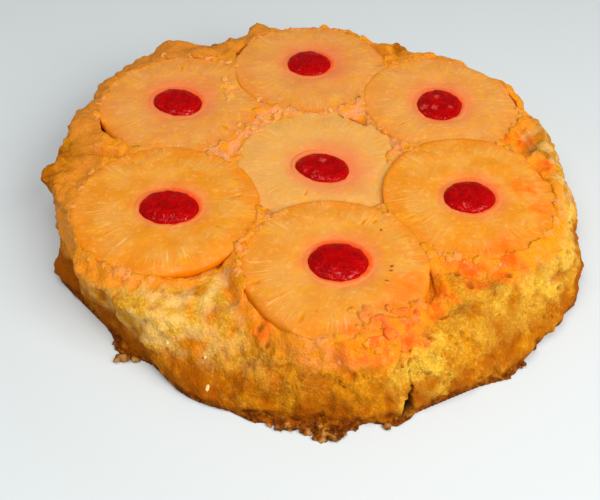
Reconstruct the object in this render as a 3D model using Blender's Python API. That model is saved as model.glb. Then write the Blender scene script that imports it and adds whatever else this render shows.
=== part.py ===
"""A pineapple upside down cake: a low round sponge with torn, wavy sides, seven rings of pineapple
sunk into its top, and a flattened cherry in the hole of each ring.

Metres, +Z up. The origin is on the plane that the cake rests on, at the middle of its outline.
Every length below is in millimetres and passes through mm(), every angle is in degrees counted
from +X towards +Y, and the front of the cake faces -Y.
"""

import math
from dataclasses import dataclass

import bmesh
import bpy
from mathutils import Vector, noise

# Driving sizes
BASE_RADIUS = 131.5
TOP_RADIUS = 120.5
TOP_CENTRE = (-7.0, -1.0)
RING_LEVEL = 36.0
SPONGE_LEVEL = 34.2
RING_THICKNESS = 8.5
RING_SPACING = 0.4
CHERRY_RISE = 2.2
GAP = 0.3
# How much flatter the sponge is at its back than a circle
BACK_FLATTENING = 3.0

# How finely each piece is divided
SPONGE_STEPS = 156
RING_STEPS = 40
CHERRY_STEPS = 20

# The torn crust that lies round the base as a thin ragged skirt: (share of the skirt's width that
# stands out, height)
SKIRT_PROFILE = (
    (0.9, 0.0),
    (1.0, 1.6),
    (0.2, 2.6),
)
# The sponge's side, from above the skirt up to the shoulder: (share of the way from the base's
# outline to the top's outline, height as a share of the rim's height)
SIDE_PROFILE = (
    (-0.04, 0.20),
    (0.10, 0.33),
    (0.28, 0.46),
    (0.44, 0.60),
    (0.62, 0.73),
    (0.82, 0.86),
    (0.97, 0.95),
)
# The top, as shares of the top's outline, from the shoulder in to the middle, and how soon the
# rim's own height gives way to the level of the sponge between the rings
TOP_PROFILE = (0.965, 0.915, 0.86, 0.80, 0.73, 0.66, 0.585, 0.50, 0.40, 0.27, 0.13)
SHOULDER_STEEPNESS = 4.5

# Bulges (+) and dents (-) of an outline: (angle, half width, height)
BASE_BULGES = (
    (-155, 7, 5.0),
    (-134, 9, -2.0),
    (-125, 5, -2.0),
    (-112, 8, 3.5),
    (-78, 10, 2.5),
    (-48, 12, 2.2),
    (-27, 6, 5.5),
    (-8, 10, -0.5),
    (25, 12, 0.5),
    (62, 9, -5.0),
    (95, 16, -5.0),
    (128, 10, 1.0),
    (172, 9, 1.0),
)
TOP_BULGES = (
    (171, 7, 6.0),
    (155, 5, 8.0),
    (142, 6, 7.0),
    (134, 3, 5.0),
    (125, 4, -6.0),
    (117, 6, -9.5),
    (109, 3, 4.5),
    (96, 8, -4.0),
    (75, 9, -12.5),
    (61, 5, -9.5),
    (32, 10, 3.0),
    (-6, 12, 6.5),
    (-28, 9, 9.5),
    (-50, 9, 2.0),
    (-72, 5, -4.0),
    (-108, 12, -10.5),
    (-138, 8, 6.5),
    (-158, 6, -2.5),
    (-171, 8, 9.0),
)
# Height of the rim above (+) or below (-) the level of the sponge between the rings
RIM_BULGES = (
    (171, 8, 2.0),
    (134, 7, 3.4),
    (109, 4, 2.6),
    (60, 8, 1.8),
    (16, 9, 1.5),
    (-28, 10, -2.5),
    (-52, 13, -5.5),
    (-84, 8, -0.5),
    (-108, 11, -4.0),
    (-150, 10, 0.8),
)
# Width of the skirt of torn crust
SKIRT_TEARS = (
    (-131, 3.5, 5.5),
    (-101, 4, 5.0),
    (-93, 4, 4.5),
    (-87, 3.5, 7.0),
    (-76, 3, 4.5),
    (-52, 4, 3.5),
    (-35, 2, 3.0),
    (118, 5, 3.0),
)

# The crack in the front: (height, sideways shift, half width, depth into the side)
CRACK_ANGLE = -72.5
CRACK_RADIUS = 134.0
CRACK_SECTIONS = (
    (-2.0, 0.0, 2.1, 12.0),
    (5.0, 0.9, 1.8, 11.0),
    (8.5, -0.5, 1.0, 9.0),
    (14.0, 0.7, 0.9, 8.5),
    (19.0, -0.8, 0.9, 8.5),
    (24.0, 0.4, 0.7, 10.0),
    (28.0, 1.6, 0.3, 12.0),
)

# Relief: folds of the side run up and down, and lumps are as wide as they are high
FOLD_WIDTH = 17.0
FOLD_HEIGHT = 70.0
FOLD_DEPTH = 4.6
LUMP_WIDTH = 9.0
LUMP_DEPTH = 3.0
LUMP_SEED = Vector((7, 3, 5))
# The side is smooth at its base, and has its full relief from this height up
RELIEF_RISE = 14.0
TOP_LUMP_WIDTH = 11.0
TOP_LUMP_HEIGHT = 2.6
TOP_LUMP_SEED = Vector((1, 9, 4))
# Unevenness of the fruit: of a ring's edge, its top face, a cherry's edge and a cherry's skin
RING_WAVES = 1.4
RING_WAVE_HEIGHT = 1.0
RING_SAG_WIDTH = 24.0
RING_SAG = 0.7
CHERRY_WAVES = 1.7
CHERRY_WAVE_HEIGHT = 0.5
WRINKLE_WIDTH = 5.0
WRINKLE_HEIGHT = 0.6
# Cutters reach this far past what they cut
OVERSHOOT = 20.0


@dataclass(frozen=True)
class Ring:
    """One slice of pineapple and its cherry, both named after where they lie."""

    name: str
    x: float
    y: float
    radius: float
    lift: float
    """Height of the middle of its top face above RING_LEVEL."""
    slope: tuple[float, float]
    """Rise of the top face for each millimetre along X and along Y."""
    cherry: tuple[float, float, float]
    """Half width along its long axis, half width across it, and the long axis's angle."""
    cherry_shift: tuple[float, float]
    """Where the cherry's middle lies, from the ring's middle."""
    crevices: tuple[tuple[float, float, float], ...] = ()
    """Where the sponge has shrunk away from the ring's edge: (angle, half width, gap)."""


# From the ring that lies over the others to the one that lies under them
RINGS = (
    Ring("front", 5.8, -76.8, 41.3, 1.3, (0.0, -0.02), (13.4, 11.4, 0), (1.1, 1.6),
         ((-12, 13, 2.4), (205, 14, 1.2), (244, 12, 1.0))),
    Ring("right", 69.5, -28.4, 40.9, 0.9, (0.01, 0.01), (12.6, 10.9, 15), (-0.4, -2.8),
         ((28, 12, 1.0),)),
    Ring("back_right", 62.7, 42.6, 41.0, 0.5, (-0.01, 0.0), (13.4, 12.2, 70), (-1.0, -2.4),
         ((8, 10, 1.0), (52, 14, 2.0))),
    Ring("back", -6.8, 72.8, 42.0, 0.4, (0.0, -0.02), (12.6, 11.8, 15), (-0.8, 1.9),
         ((30, 10, 1.6), (95, 26, 2.6), (158, 10, 1.8))),
    Ring("left", -72.3, -42.6, 43.0, 0.7, (0.01, -0.015), (14.2, 11.3, -5), (2.0, -1.2),
         ((-62, 16, 2.6), (-108, 12, 0.8))),
    Ring("back_left", -75.5, 36.7, 41.8, -0.1, (0.015, 0.0), (13.6, 11.2, -28), (-0.9, 0.2),
         ((215, 11, 2.0),)),
    Ring("middle", -1.6, -8.6, 40.2, -1.1, (0.0, 0.03), (13.8, 10.3, -15), (1.8, -2.4),
         ((212, 10, 2.2), (60, 8, 1.2))),
)

COLOURS = {
    "sponge": ((0.70, 0.36, 0.06), 0.85),
    "pineapple": ((0.90, 0.46, 0.10), 0.35),
    "cherry": ((0.42, 0.004, 0.008), 0.2),
}


def mm(*lengths):
    """One length, or a place, from millimetres to metres."""
    return lengths[0] / 1000 if len(lengths) == 1 else Vector(lengths) / 1000


def hill(angle, middle, half_width):
    """1 at the middle angle, falling smoothly to 0 at about twice the half width from it."""
    away = (angle - middle + 180) % 360 - 180
    return math.exp(-((away / half_width) ** 2))


def bulge(angle, bulges):
    """The sum of the hills in a list of (angle, half width, height)."""
    return sum(height * hill(angle, middle, width) for middle, width, height in bulges)


def along_ray(angle, centre, radius, origin=(0.0, 0.0)):
    """The two distances along a ray from origin at which it meets a circle, or None."""
    heading = Vector((math.cos(math.radians(angle)), math.sin(math.radians(angle))))
    to_centre = Vector(centre) - Vector(origin)
    middle = heading.dot(to_centre)
    under_root = middle**2 - to_centre.length_squared + radius**2
    if under_root <= 0:
        return None
    return middle - math.sqrt(under_root), middle + math.sqrt(under_root)


def material(name):
    """The plain material of one kind of piece."""
    made = bpy.data.materials.new(name)
    made.use_nodes = True
    colour, roughness = COLOURS[name]
    shader = made.node_tree.nodes["Principled BSDF"]
    shader.inputs["Base Color"].default_value = (*colour, 1.0)
    shader.inputs["Roughness"].default_value = roughness
    shader.inputs["Metallic"].default_value = 0.0
    made.diffuse_color = (*colour, 1.0)
    return made


def new_object(name, mesh_data, finish):
    """Links a finished bmesh to the scene as one smooth-shaded object."""
    mesh = bpy.data.meshes.new(name)
    bmesh.ops.recalc_face_normals(mesh_data, faces=mesh_data.faces)
    mesh_data.to_mesh(mesh)
    mesh_data.free()
    mesh.materials.append(finish)
    mesh.shade_smooth()
    made = bpy.data.objects.new(name, mesh)
    bpy.context.scene.collection.objects.link(made)
    return made


def turned(profile, steps, closed):
    """A profile of (radius, height) in millimetres, turned round the Z axis."""
    work = bmesh.new()
    points = [work.verts.new(mm(radius, 0.0, height)) for radius, height in profile]
    pairs = list(zip(points, points[1:]))
    if closed:
        pairs.append((points[-1], points[0]))
    edges = [work.edges.new(pair) for pair in pairs]
    bmesh.ops.spin(
        work,
        geom=points + edges,
        cent=(0, 0, 0),
        axis=(0, 0, 1),
        angle=math.tau,
        steps=steps,
        use_merge=True,
    )
    bmesh.ops.remove_doubles(work, verts=work.verts, dist=mm(0.01))
    return work


# The sponge


def base_outline(angle):
    """Radius of the sponge at its base, in the given direction."""
    flattening = BACK_FLATTENING * max(0.0, math.sin(math.radians(angle)))
    return BASE_RADIUS - flattening + bulge(angle, BASE_BULGES)


def top_outline(angle):
    """Radius of the sponge's shoulder, round a middle that has slid to the left."""
    return along_ray(angle, TOP_CENTRE, TOP_RADIUS)[1] + bulge(angle, TOP_BULGES)


def rim_height(angle):
    """Height of the shoulder."""
    return SPONGE_LEVEL + bulge(angle, RIM_BULGES)


def side_relief(angle, height):
    """How far the torn side stands out (+) or in (-), from folds and lumps."""
    along = math.radians(angle)
    on_side = Vector((math.cos(along), math.sin(along), 0)) * BASE_RADIUS
    fold = noise.noise(on_side / FOLD_WIDTH + Vector((0, 0, height / FOLD_HEIGHT)))
    lump = noise.noise((on_side + Vector((0, 0, height))) / LUMP_WIDTH + LUMP_SEED)
    return (FOLD_DEPTH * fold + LUMP_DEPTH * lump) * min(1.0, height / RELIEF_RISE)


def top_relief(x, y):
    """Height of the lumps of the sponge's top."""
    place = Vector((x, y, 0)) / TOP_LUMP_WIDTH
    return TOP_LUMP_HEIGHT * noise.noise(place + TOP_LUMP_SEED)


def sponge_section(angle):
    """The sponge's half section in one direction, from under its middle over its side to its top."""
    base, top, rim = base_outline(angle), top_outline(angle), rim_height(angle)
    skirt = bulge(angle, SKIRT_TEARS)
    section = [(0.0, 0.0)]
    for share, height in SKIRT_PROFILE:
        section.append((base + skirt * share, height))
    for share, rise in SIDE_PROFILE:
        height = rim * rise
        section.append((base + (top - base) * share + side_relief(angle, height), height))
    along = math.radians(angle)
    for share in TOP_PROFILE + (0.0,):
        shoulder = max(0.0, 1 - (1 - share) * SHOULDER_STEEPNESS)
        height = SPONGE_LEVEL + (rim - SPONGE_LEVEL) * shoulder
        relief = top_relief(top * share * math.cos(along), top * share * math.sin(along))
        section.append((top * share, height + relief))
    return section


def uncut_sponge(finish):
    """The sponge without the pockets of its rings: a plain turned shape pulled to its sections."""
    levels = len(sponge_section(0)) - 1
    plain = [(min(level, 1) * (levels - level), level) for level in range(levels + 1)]
    work = turned(plain, SPONGE_STEPS, closed=False)
    sections = {}
    for point in work.verts:
        level = round(point.co.z * 1000)
        angle = round(math.degrees(math.atan2(point.co.y, point.co.x)), 3)
        if angle not in sections:
            sections[angle] = sponge_section(angle)
        radius, height = sections[angle][level]
        along = math.radians(angle)
        point.co = mm(radius * math.cos(along), radius * math.sin(along), height)
    return new_object("cake", work, finish)


def crack_cutter():
    """A thin ragged wedge that stands in the sponge's front."""
    work = bmesh.new()
    along = math.radians(CRACK_ANGLE)
    out = Vector((math.cos(along), math.sin(along), 0))
    across = Vector((-out.y, out.x, 0))
    rows = []
    for height, shift, half_width, depth in CRACK_SECTIONS:
        mouth = out * (CRACK_RADIUS + OVERSHOOT) + across * shift + Vector((0, 0, height))
        root = out * (CRACK_RADIUS - depth) + across * shift + Vector((0, 0, height))
        row = [mouth - across * half_width, mouth + across * half_width, root]
        rows.append([work.verts.new(place / 1000) for place in row])
    for lower, upper in zip(rows, rows[1:]):
        for a, b in ((0, 1), (1, 2), (2, 0)):
            work.faces.new((lower[a], lower[b], upper[b], upper[a]))
    work.faces.new(rows[0])
    work.faces.new(rows[-1])
    return cutter(new_object("crack_cutter", work, None))


# The rings and their cherries


def overlies(upper, lower):
    """Whether one ring lies over another, and near enough to cover some of it."""
    apart = math.hypot(upper.x - lower.x, upper.y - lower.y)
    return RINGS.index(upper) < RINGS.index(lower) and apart < upper.radius + lower.radius


def ring_outline(ring, angle):
    """Radius of a ring's edge: round, a little uneven, and cut short by the rings over it."""
    heading = Vector((math.cos(math.radians(angle)), math.sin(math.radians(angle))))
    wave = Vector((heading.x, heading.y, ring.x))
    radius = ring.radius + RING_WAVE_HEIGHT * noise.noise(wave * RING_WAVES)
    for upper in RINGS:
        if overlies(upper, ring):
            kept_free = upper.radius + RING_SPACING
            met = along_ray(angle, (upper.x, upper.y), kept_free, (ring.x, ring.y))
            if met and met[0] > 0:
                radius = min(radius, edge_under(upper, ring, heading, met[0]))
    return radius


def edge_under(upper, lower, heading, reach):
    """How far from the lower ring's middle its edge comes to lie a spacing off the upper's edge.

    It is near the reach that a round upper ring would give, and a few steps correct that.
    """
    for _ in range(6):
        from_upper = Vector((lower.x, lower.y)) + heading * reach - Vector((upper.x, upper.y))
        facing = math.degrees(math.atan2(from_upper.y, from_upper.x))
        reach += from_upper.length - ring_outline(upper, facing) - RING_SPACING
    return reach


def cherry_outline(ring, angle):
    """Radius of a cherry round its own middle: an uneven oval."""
    long_half, short_half, turn = ring.cherry
    along = math.radians(angle - turn)
    oval = 1 / math.hypot(math.cos(along) / long_half, math.sin(along) / short_half)
    wave = Vector((math.cos(along), math.sin(along), ring.y))
    return oval + CHERRY_WAVE_HEIGHT * noise.noise(wave * CHERRY_WAVES)


def hole_outline(ring, angle):
    """Radius of a ring's hole round the ring's middle, a gap away from the cherry in it.

    The ray from the ring's middle is followed in ever smaller steps until it is that gap outside
    the cherry, whose own middle lies elsewhere.
    """
    shift = Vector(ring.cherry_shift)
    heading = Vector((math.cos(math.radians(angle)), math.sin(math.radians(angle))))
    gap = 1.5 * GAP
    reach = gap
    for _ in range(40):
        from_cherry = heading * reach - shift
        facing = math.degrees(math.atan2(from_cherry.y, from_cherry.x))
        reach += (cherry_outline(ring, facing) + gap - from_cherry.length) / 2
    return reach


def ring_height(ring, x, y):
    """Height of a ring's top face, before it rounds off to its edges."""
    rise = ring.slope[0] * (x - ring.x) + ring.slope[1] * (y - ring.y)
    sag = RING_SAG * noise.noise(Vector((x, y, 0)) / RING_SAG_WIDTH)
    return RING_LEVEL + ring.lift + rise + sag


# Across a ring, from its hole to its edge: (share of the way, depth under its top face)
RING_PROFILE = (
    (0.0, RING_THICKNESS),
    (0.0, 1.6),
    (0.05, 0.4),
    (0.40, 0.0),
    (0.78, 0.15),
    (0.93, 0.9),
    (1.0, 2.9),
    (0.985, RING_THICKNESS),
)


def pineapple_ring(ring, finish):
    """One slice: a turned section, pulled to its hole and its outline and laid on its slope."""
    plain = [(1 + share, -depth) for share, depth in RING_PROFILE]
    work = turned(plain, RING_STEPS, closed=True)
    for point in work.verts:
        share = math.hypot(point.co.x, point.co.y) * 1000 - 1
        depth = -point.co.z * 1000
        angle = math.degrees(math.atan2(point.co.y, point.co.x))
        hole = hole_outline(ring, angle)
        radius = hole + (ring_outline(ring, angle) - hole) * share
        along = math.radians(angle)
        x = ring.x + radius * math.cos(along)
        y = ring.y + radius * math.sin(along)
        point.co = mm(x, y, ring_height(ring, x, y) - depth)
    return new_object("pineapple_ring_" + ring.name, work, finish)


# Across a cherry, from under its middle to its top: (share of its outline, height over the ring)
CHERRY_PROFILE = (
    (0.0, -RING_THICKNESS),
    (0.80, -RING_THICKNESS),
    (0.97, -RING_THICKNESS * 0.62),
    (1.0, -1.4),
    (0.97, -0.1),
    (0.86, CHERRY_RISE * 0.5),
    (0.62, CHERRY_RISE * 0.87),
    (0.32, CHERRY_RISE),
    (0.0, CHERRY_RISE * 0.97),
)


def cherry(ring, finish):
    """The flattened cherry that fills a ring's hole and stands a little proud of it."""
    plain = [(share, height) for share, height in CHERRY_PROFILE]
    work = turned(plain, CHERRY_STEPS, closed=False)
    centre = Vector((ring.x, ring.y)) + Vector(ring.cherry_shift)
    for point in work.verts:
        share = math.hypot(point.co.x, point.co.y) * 1000
        height = point.co.z * 1000
        angle = math.degrees(math.atan2(point.co.y, point.co.x))
        radius = cherry_outline(ring, angle) * share
        along = math.radians(angle)
        x, y = centre.x + radius * math.cos(along), centre.y + radius * math.sin(along)
        crease = WRINKLE_HEIGHT * noise.noise(Vector((x, y, 0)) / WRINKLE_WIDTH)
        wrinkle = crease * max(0.0, height / CHERRY_RISE)
        level = ring_height(ring, centre.x, centre.y)
        point.co = mm(x, y, level + height + wrinkle)
    return new_object("cherry_" + ring.name, work, finish)


def cutter(made):
    """Marks an object as a helper that only cuts."""
    made.hide_render = True
    made.display_type = "WIRE"
    return made


def pocket_cutter(ring):
    """The room that a ring and its cherry take out of the sponge, a gap wider than both."""
    floor_shares = (0.0, 0.5, 1.0)
    plain = [(share, 0.0) for share in floor_shares] + [(1.0, OVERSHOOT), (0.0, OVERSHOOT)]
    work = turned(plain, RING_STEPS, closed=False)
    for point in work.verts:
        share = math.hypot(point.co.x, point.co.y) * 1000
        angle = math.degrees(math.atan2(point.co.y, point.co.x))
        gap = GAP + bulge(angle, ring.crevices)
        radius = share * (ring_outline(ring, angle) + gap)
        along = math.radians(angle)
        x = ring.x + radius * math.cos(along)
        y = ring.y + radius * math.sin(along)
        floor = ring_height(ring, x, y) - RING_THICKNESS - 2 * GAP
        point.co = mm(x, y, floor if point.co.z == 0 else RING_LEVEL + OVERSHOOT)
    return cutter(new_object("pocket_cutter_" + ring.name, work, None))


def cut(made, cutters):
    """Cuts each cutter out of an object with a Boolean, and applies it."""
    bpy.context.view_layer.objects.active = made
    for tool in cutters:
        boolean = made.modifiers.new(tool.name, "BOOLEAN")
        boolean.operation = "DIFFERENCE"
        boolean.solver = "EXACT"
        boolean.object = tool
        bpy.ops.object.modifier_apply(modifier=boolean.name)
        bpy.data.objects.remove(tool)


def centre_on_origin(pieces):
    """Moves the whole cake so that the middle of its outline is over the origin."""
    bpy.context.view_layer.update()
    corners = [piece.matrix_world @ Vector(corner) for piece in pieces for corner in piece.bound_box]
    low = Vector(map(min, *corners))
    high = Vector(map(max, *corners))
    shift = Vector((-(low.x + high.x) / 2, -(low.y + high.y) / 2, -low.z))
    for piece in pieces:
        piece.location += shift
    print("centred by", [round(1000 * part, 2) for part in shift], "mm")


def main():
    for old in list(bpy.data.objects):
        bpy.data.objects.remove(old)
    finishes = {name: material(name) for name in COLOURS}
    sponge = uncut_sponge(finishes["sponge"])
    cut(sponge, [pocket_cutter(ring) for ring in RINGS] + [crack_cutter()])
    pieces = [sponge]
    for ring in RINGS:
        pieces.append(pineapple_ring(ring, finishes["pineapple"]))
        pieces.append(cherry(ring, finishes["cherry"]))
    centre_on_origin(pieces)


main()
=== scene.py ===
"""The looks of a pineapple upside down cake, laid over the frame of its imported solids.

The cherries are made first, then the rings from the uppermost to the lowest, and then the sponge,
because each piece is pressed against the ones that are already there. Last come the soaked lumps
that have crept over the fruit, the flakes of torn crust and the crumbs.

Metres, +Z up, in the frame's own coordinates. Sizes are written in millimetres, times MM where
they reach the scene. Angles are in degrees from +X towards +Y.
"""

import logging
import math
import random
from dataclasses import dataclass
from enum import Enum

import bpy
import numpy as np
from mathutils import Matrix, Quaternion, Vector, noise
from mathutils.bvhtree import BVHTree


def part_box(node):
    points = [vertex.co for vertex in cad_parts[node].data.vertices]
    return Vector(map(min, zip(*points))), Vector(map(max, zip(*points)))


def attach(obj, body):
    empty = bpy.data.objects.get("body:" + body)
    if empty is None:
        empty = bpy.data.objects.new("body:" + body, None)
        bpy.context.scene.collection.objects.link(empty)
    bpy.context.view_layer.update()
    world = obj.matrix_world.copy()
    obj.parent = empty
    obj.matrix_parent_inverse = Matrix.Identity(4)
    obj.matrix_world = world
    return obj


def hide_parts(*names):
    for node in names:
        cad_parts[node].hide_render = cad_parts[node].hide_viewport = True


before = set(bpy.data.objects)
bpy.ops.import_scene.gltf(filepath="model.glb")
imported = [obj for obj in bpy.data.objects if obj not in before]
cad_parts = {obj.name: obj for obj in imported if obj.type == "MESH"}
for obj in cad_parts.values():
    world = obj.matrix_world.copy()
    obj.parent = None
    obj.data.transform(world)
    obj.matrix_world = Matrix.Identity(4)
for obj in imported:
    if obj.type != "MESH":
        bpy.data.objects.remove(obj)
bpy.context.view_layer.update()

LOG = logging.getLogger("cake")
MM = 0.001
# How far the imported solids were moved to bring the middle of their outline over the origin
CENTRING = (2.2, 6.94)

DOWN = Vector((0, 0, -1))

Colour = tuple[int, int, int]
Spot = tuple[float, float]


class Slot(Enum):
    """The record's material slots."""

    SPONGE = "sponge"
    PINEAPPLE = "pineapple"
    CHERRY = "cherry"


# Small tools


def ease(value: float, start: float, end: float) -> float:
    """A smooth step.

    Args:
        value: What is measured.
        start: Where the step begins.
        end: Where it ends, which may be below start.

    Returns:
        0 before start, 1 past end, and an even S curve between them.
    """
    share = min(1.0, max(0.0, (value - start) / (end - start)))
    return share * share * (3 - 2 * share)


def unit_noise(place: Vector) -> float:
    """Smooth noise at a place, about -1 to 1."""
    return noise.noise(place)


def layered_noise(place: Vector, layers: tuple[tuple[float, float], ...]) -> float:
    """Noise of several sizes at once, each given as (how far apart, height)."""
    return sum(height * unit_noise(place / width) for width, height in layers)


def linear(colour: Colour) -> tuple[float, float, float, float]:
    """A colour given as 0 to 255 on screen, as the linear one with alpha that shaders take."""
    shares = [part / 255 for part in colour]
    parts = [c / 12.92 if c <= 0.04045 else ((c + 0.055) / 1.055) ** 2.4 for c in shares]
    return (*parts, 1.0)


def select_only(piece: bpy.types.Object) -> None:
    """Leaves one object selected and active, in object mode.

    Args:
        piece: The object that stays selected.
    """
    if bpy.context.mode != "OBJECT":
        bpy.ops.object.mode_set(mode="OBJECT")
    bpy.ops.object.select_all(action="DESELECT")
    piece.select_set(True)
    bpy.context.view_layer.objects.active = piece


def finish_modifier(piece: bpy.types.Object, kind: str, **settings: object) -> None:
    """Adds one modifier to a piece and applies it.

    Args:
        piece: The object that gets it.
        kind: The modifier's type.
        **settings: Its properties.
    """
    select_only(piece)
    modifier = piece.modifiers.new(kind.title(), kind)
    for name, value in settings.items():
        setattr(modifier, name, value)
    bpy.ops.object.modifier_apply(modifier=modifier.name)


def copy_of_node(node: str, name: str) -> bpy.types.Object:
    """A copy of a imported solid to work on, with its loose triangles merged.

    Args:
        node: The solid's name in the frame.
        name: The new piece's name.

    Returns:
        The new object, selected and active.
    """
    piece = bpy.data.objects.new(name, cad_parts[node].data.copy())
    bpy.context.scene.collection.objects.link(piece)
    piece.data.name = name
    select_only(piece)
    bpy.ops.object.mode_set(mode="EDIT")
    bpy.ops.mesh.select_all(action="SELECT")
    bpy.ops.mesh.remove_doubles(threshold=0.01 * MM)
    bpy.ops.mesh.tris_convert_to_quads()
    bpy.ops.object.mode_set(mode="OBJECT")
    return piece


def spots_of(piece: bpy.types.Object) -> np.ndarray:
    """The places of a piece's points, in millimetres, one row each."""
    places = np.empty(len(piece.data.vertices) * 3)
    piece.data.vertices.foreach_get("co", places)
    return places.reshape(-1, 3) / MM


def normals_of(piece: bpy.types.Object) -> np.ndarray:
    """The directions that a piece's points face, one row each."""
    facing = np.empty(len(piece.data.vertices) * 3)
    piece.data.vertex_normals.foreach_get("vector", facing)
    return facing.reshape(-1, 3)


def move_to(piece: bpy.types.Object, spots: np.ndarray) -> None:
    """Puts a piece's points at the given places, in millimetres."""
    piece.data.vertices.foreach_set("co", (spots * MM).ravel())
    piece.data.update()


def keep(piece: bpy.types.Object, name: str, values: np.ndarray) -> None:
    """Stores one number a point on a piece, for its material to read."""
    layer = piece.data.attributes.new(name, "FLOAT", "POINT")
    layer.data.foreach_set("value", np.asarray(values, dtype=np.float32))


def search_tree(pieces: list[bpy.types.Object]) -> BVHTree:
    """A tree over the faces of several pieces, in millimetres, for finding what is near.

    Args:
        pieces: The objects whose faces are searched.

    Returns:
        The tree.
    """
    corners: list[Vector] = []
    faces: list[tuple[int, ...]] = []
    for piece in pieces:
        first = len(corners)
        corners.extend(point.co / MM for point in piece.data.vertices)
        faces.extend(tuple(first + c for c in face.vertices) for face in piece.data.polygons)
    return BVHTree.FromPolygons(corners, faces)


def away_from(spot: Vector, x: float, y: float) -> float:
    """How far a place is from another one, seen from above."""
    return math.hypot(spot.x - x, spot.y - y)


def turn_between(heading: float, angle: float) -> float:
    """The turn from one angle to another, from -180 to 180 degrees."""
    return (heading - angle + 180) % 360 - 180


def hill(spot: Vector, angle: float, half_width: float) -> float:
    """1 in one direction from the middle of the cake, falling to 0 at about twice half_width."""
    heading = math.degrees(math.atan2(spot.y, spot.x))
    return math.exp(-((turn_between(heading, angle) / half_width) ** 2))


def press(spot: Vector, tree: BVHTree, reach: float, overlap: float) -> Vector:
    """Draws a place on to what is near it, the more the nearer it is.

    Args:
        spot: The place, in millimetres.
        tree: What it is drawn to.
        reach: How far away the pull ends.
        overlap: How far past the surface the nearest places go.

    Returns:
        The move to make, in millimetres.
    """
    near, _, _, away = tree.find_nearest(spot, reach)
    if near is None or away < 1e-4:
        return Vector()
    pull = ease(away, reach, reach * 0.35)
    return (near - spot) * (pull * (1 + overlap / away))


# Materials


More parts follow.
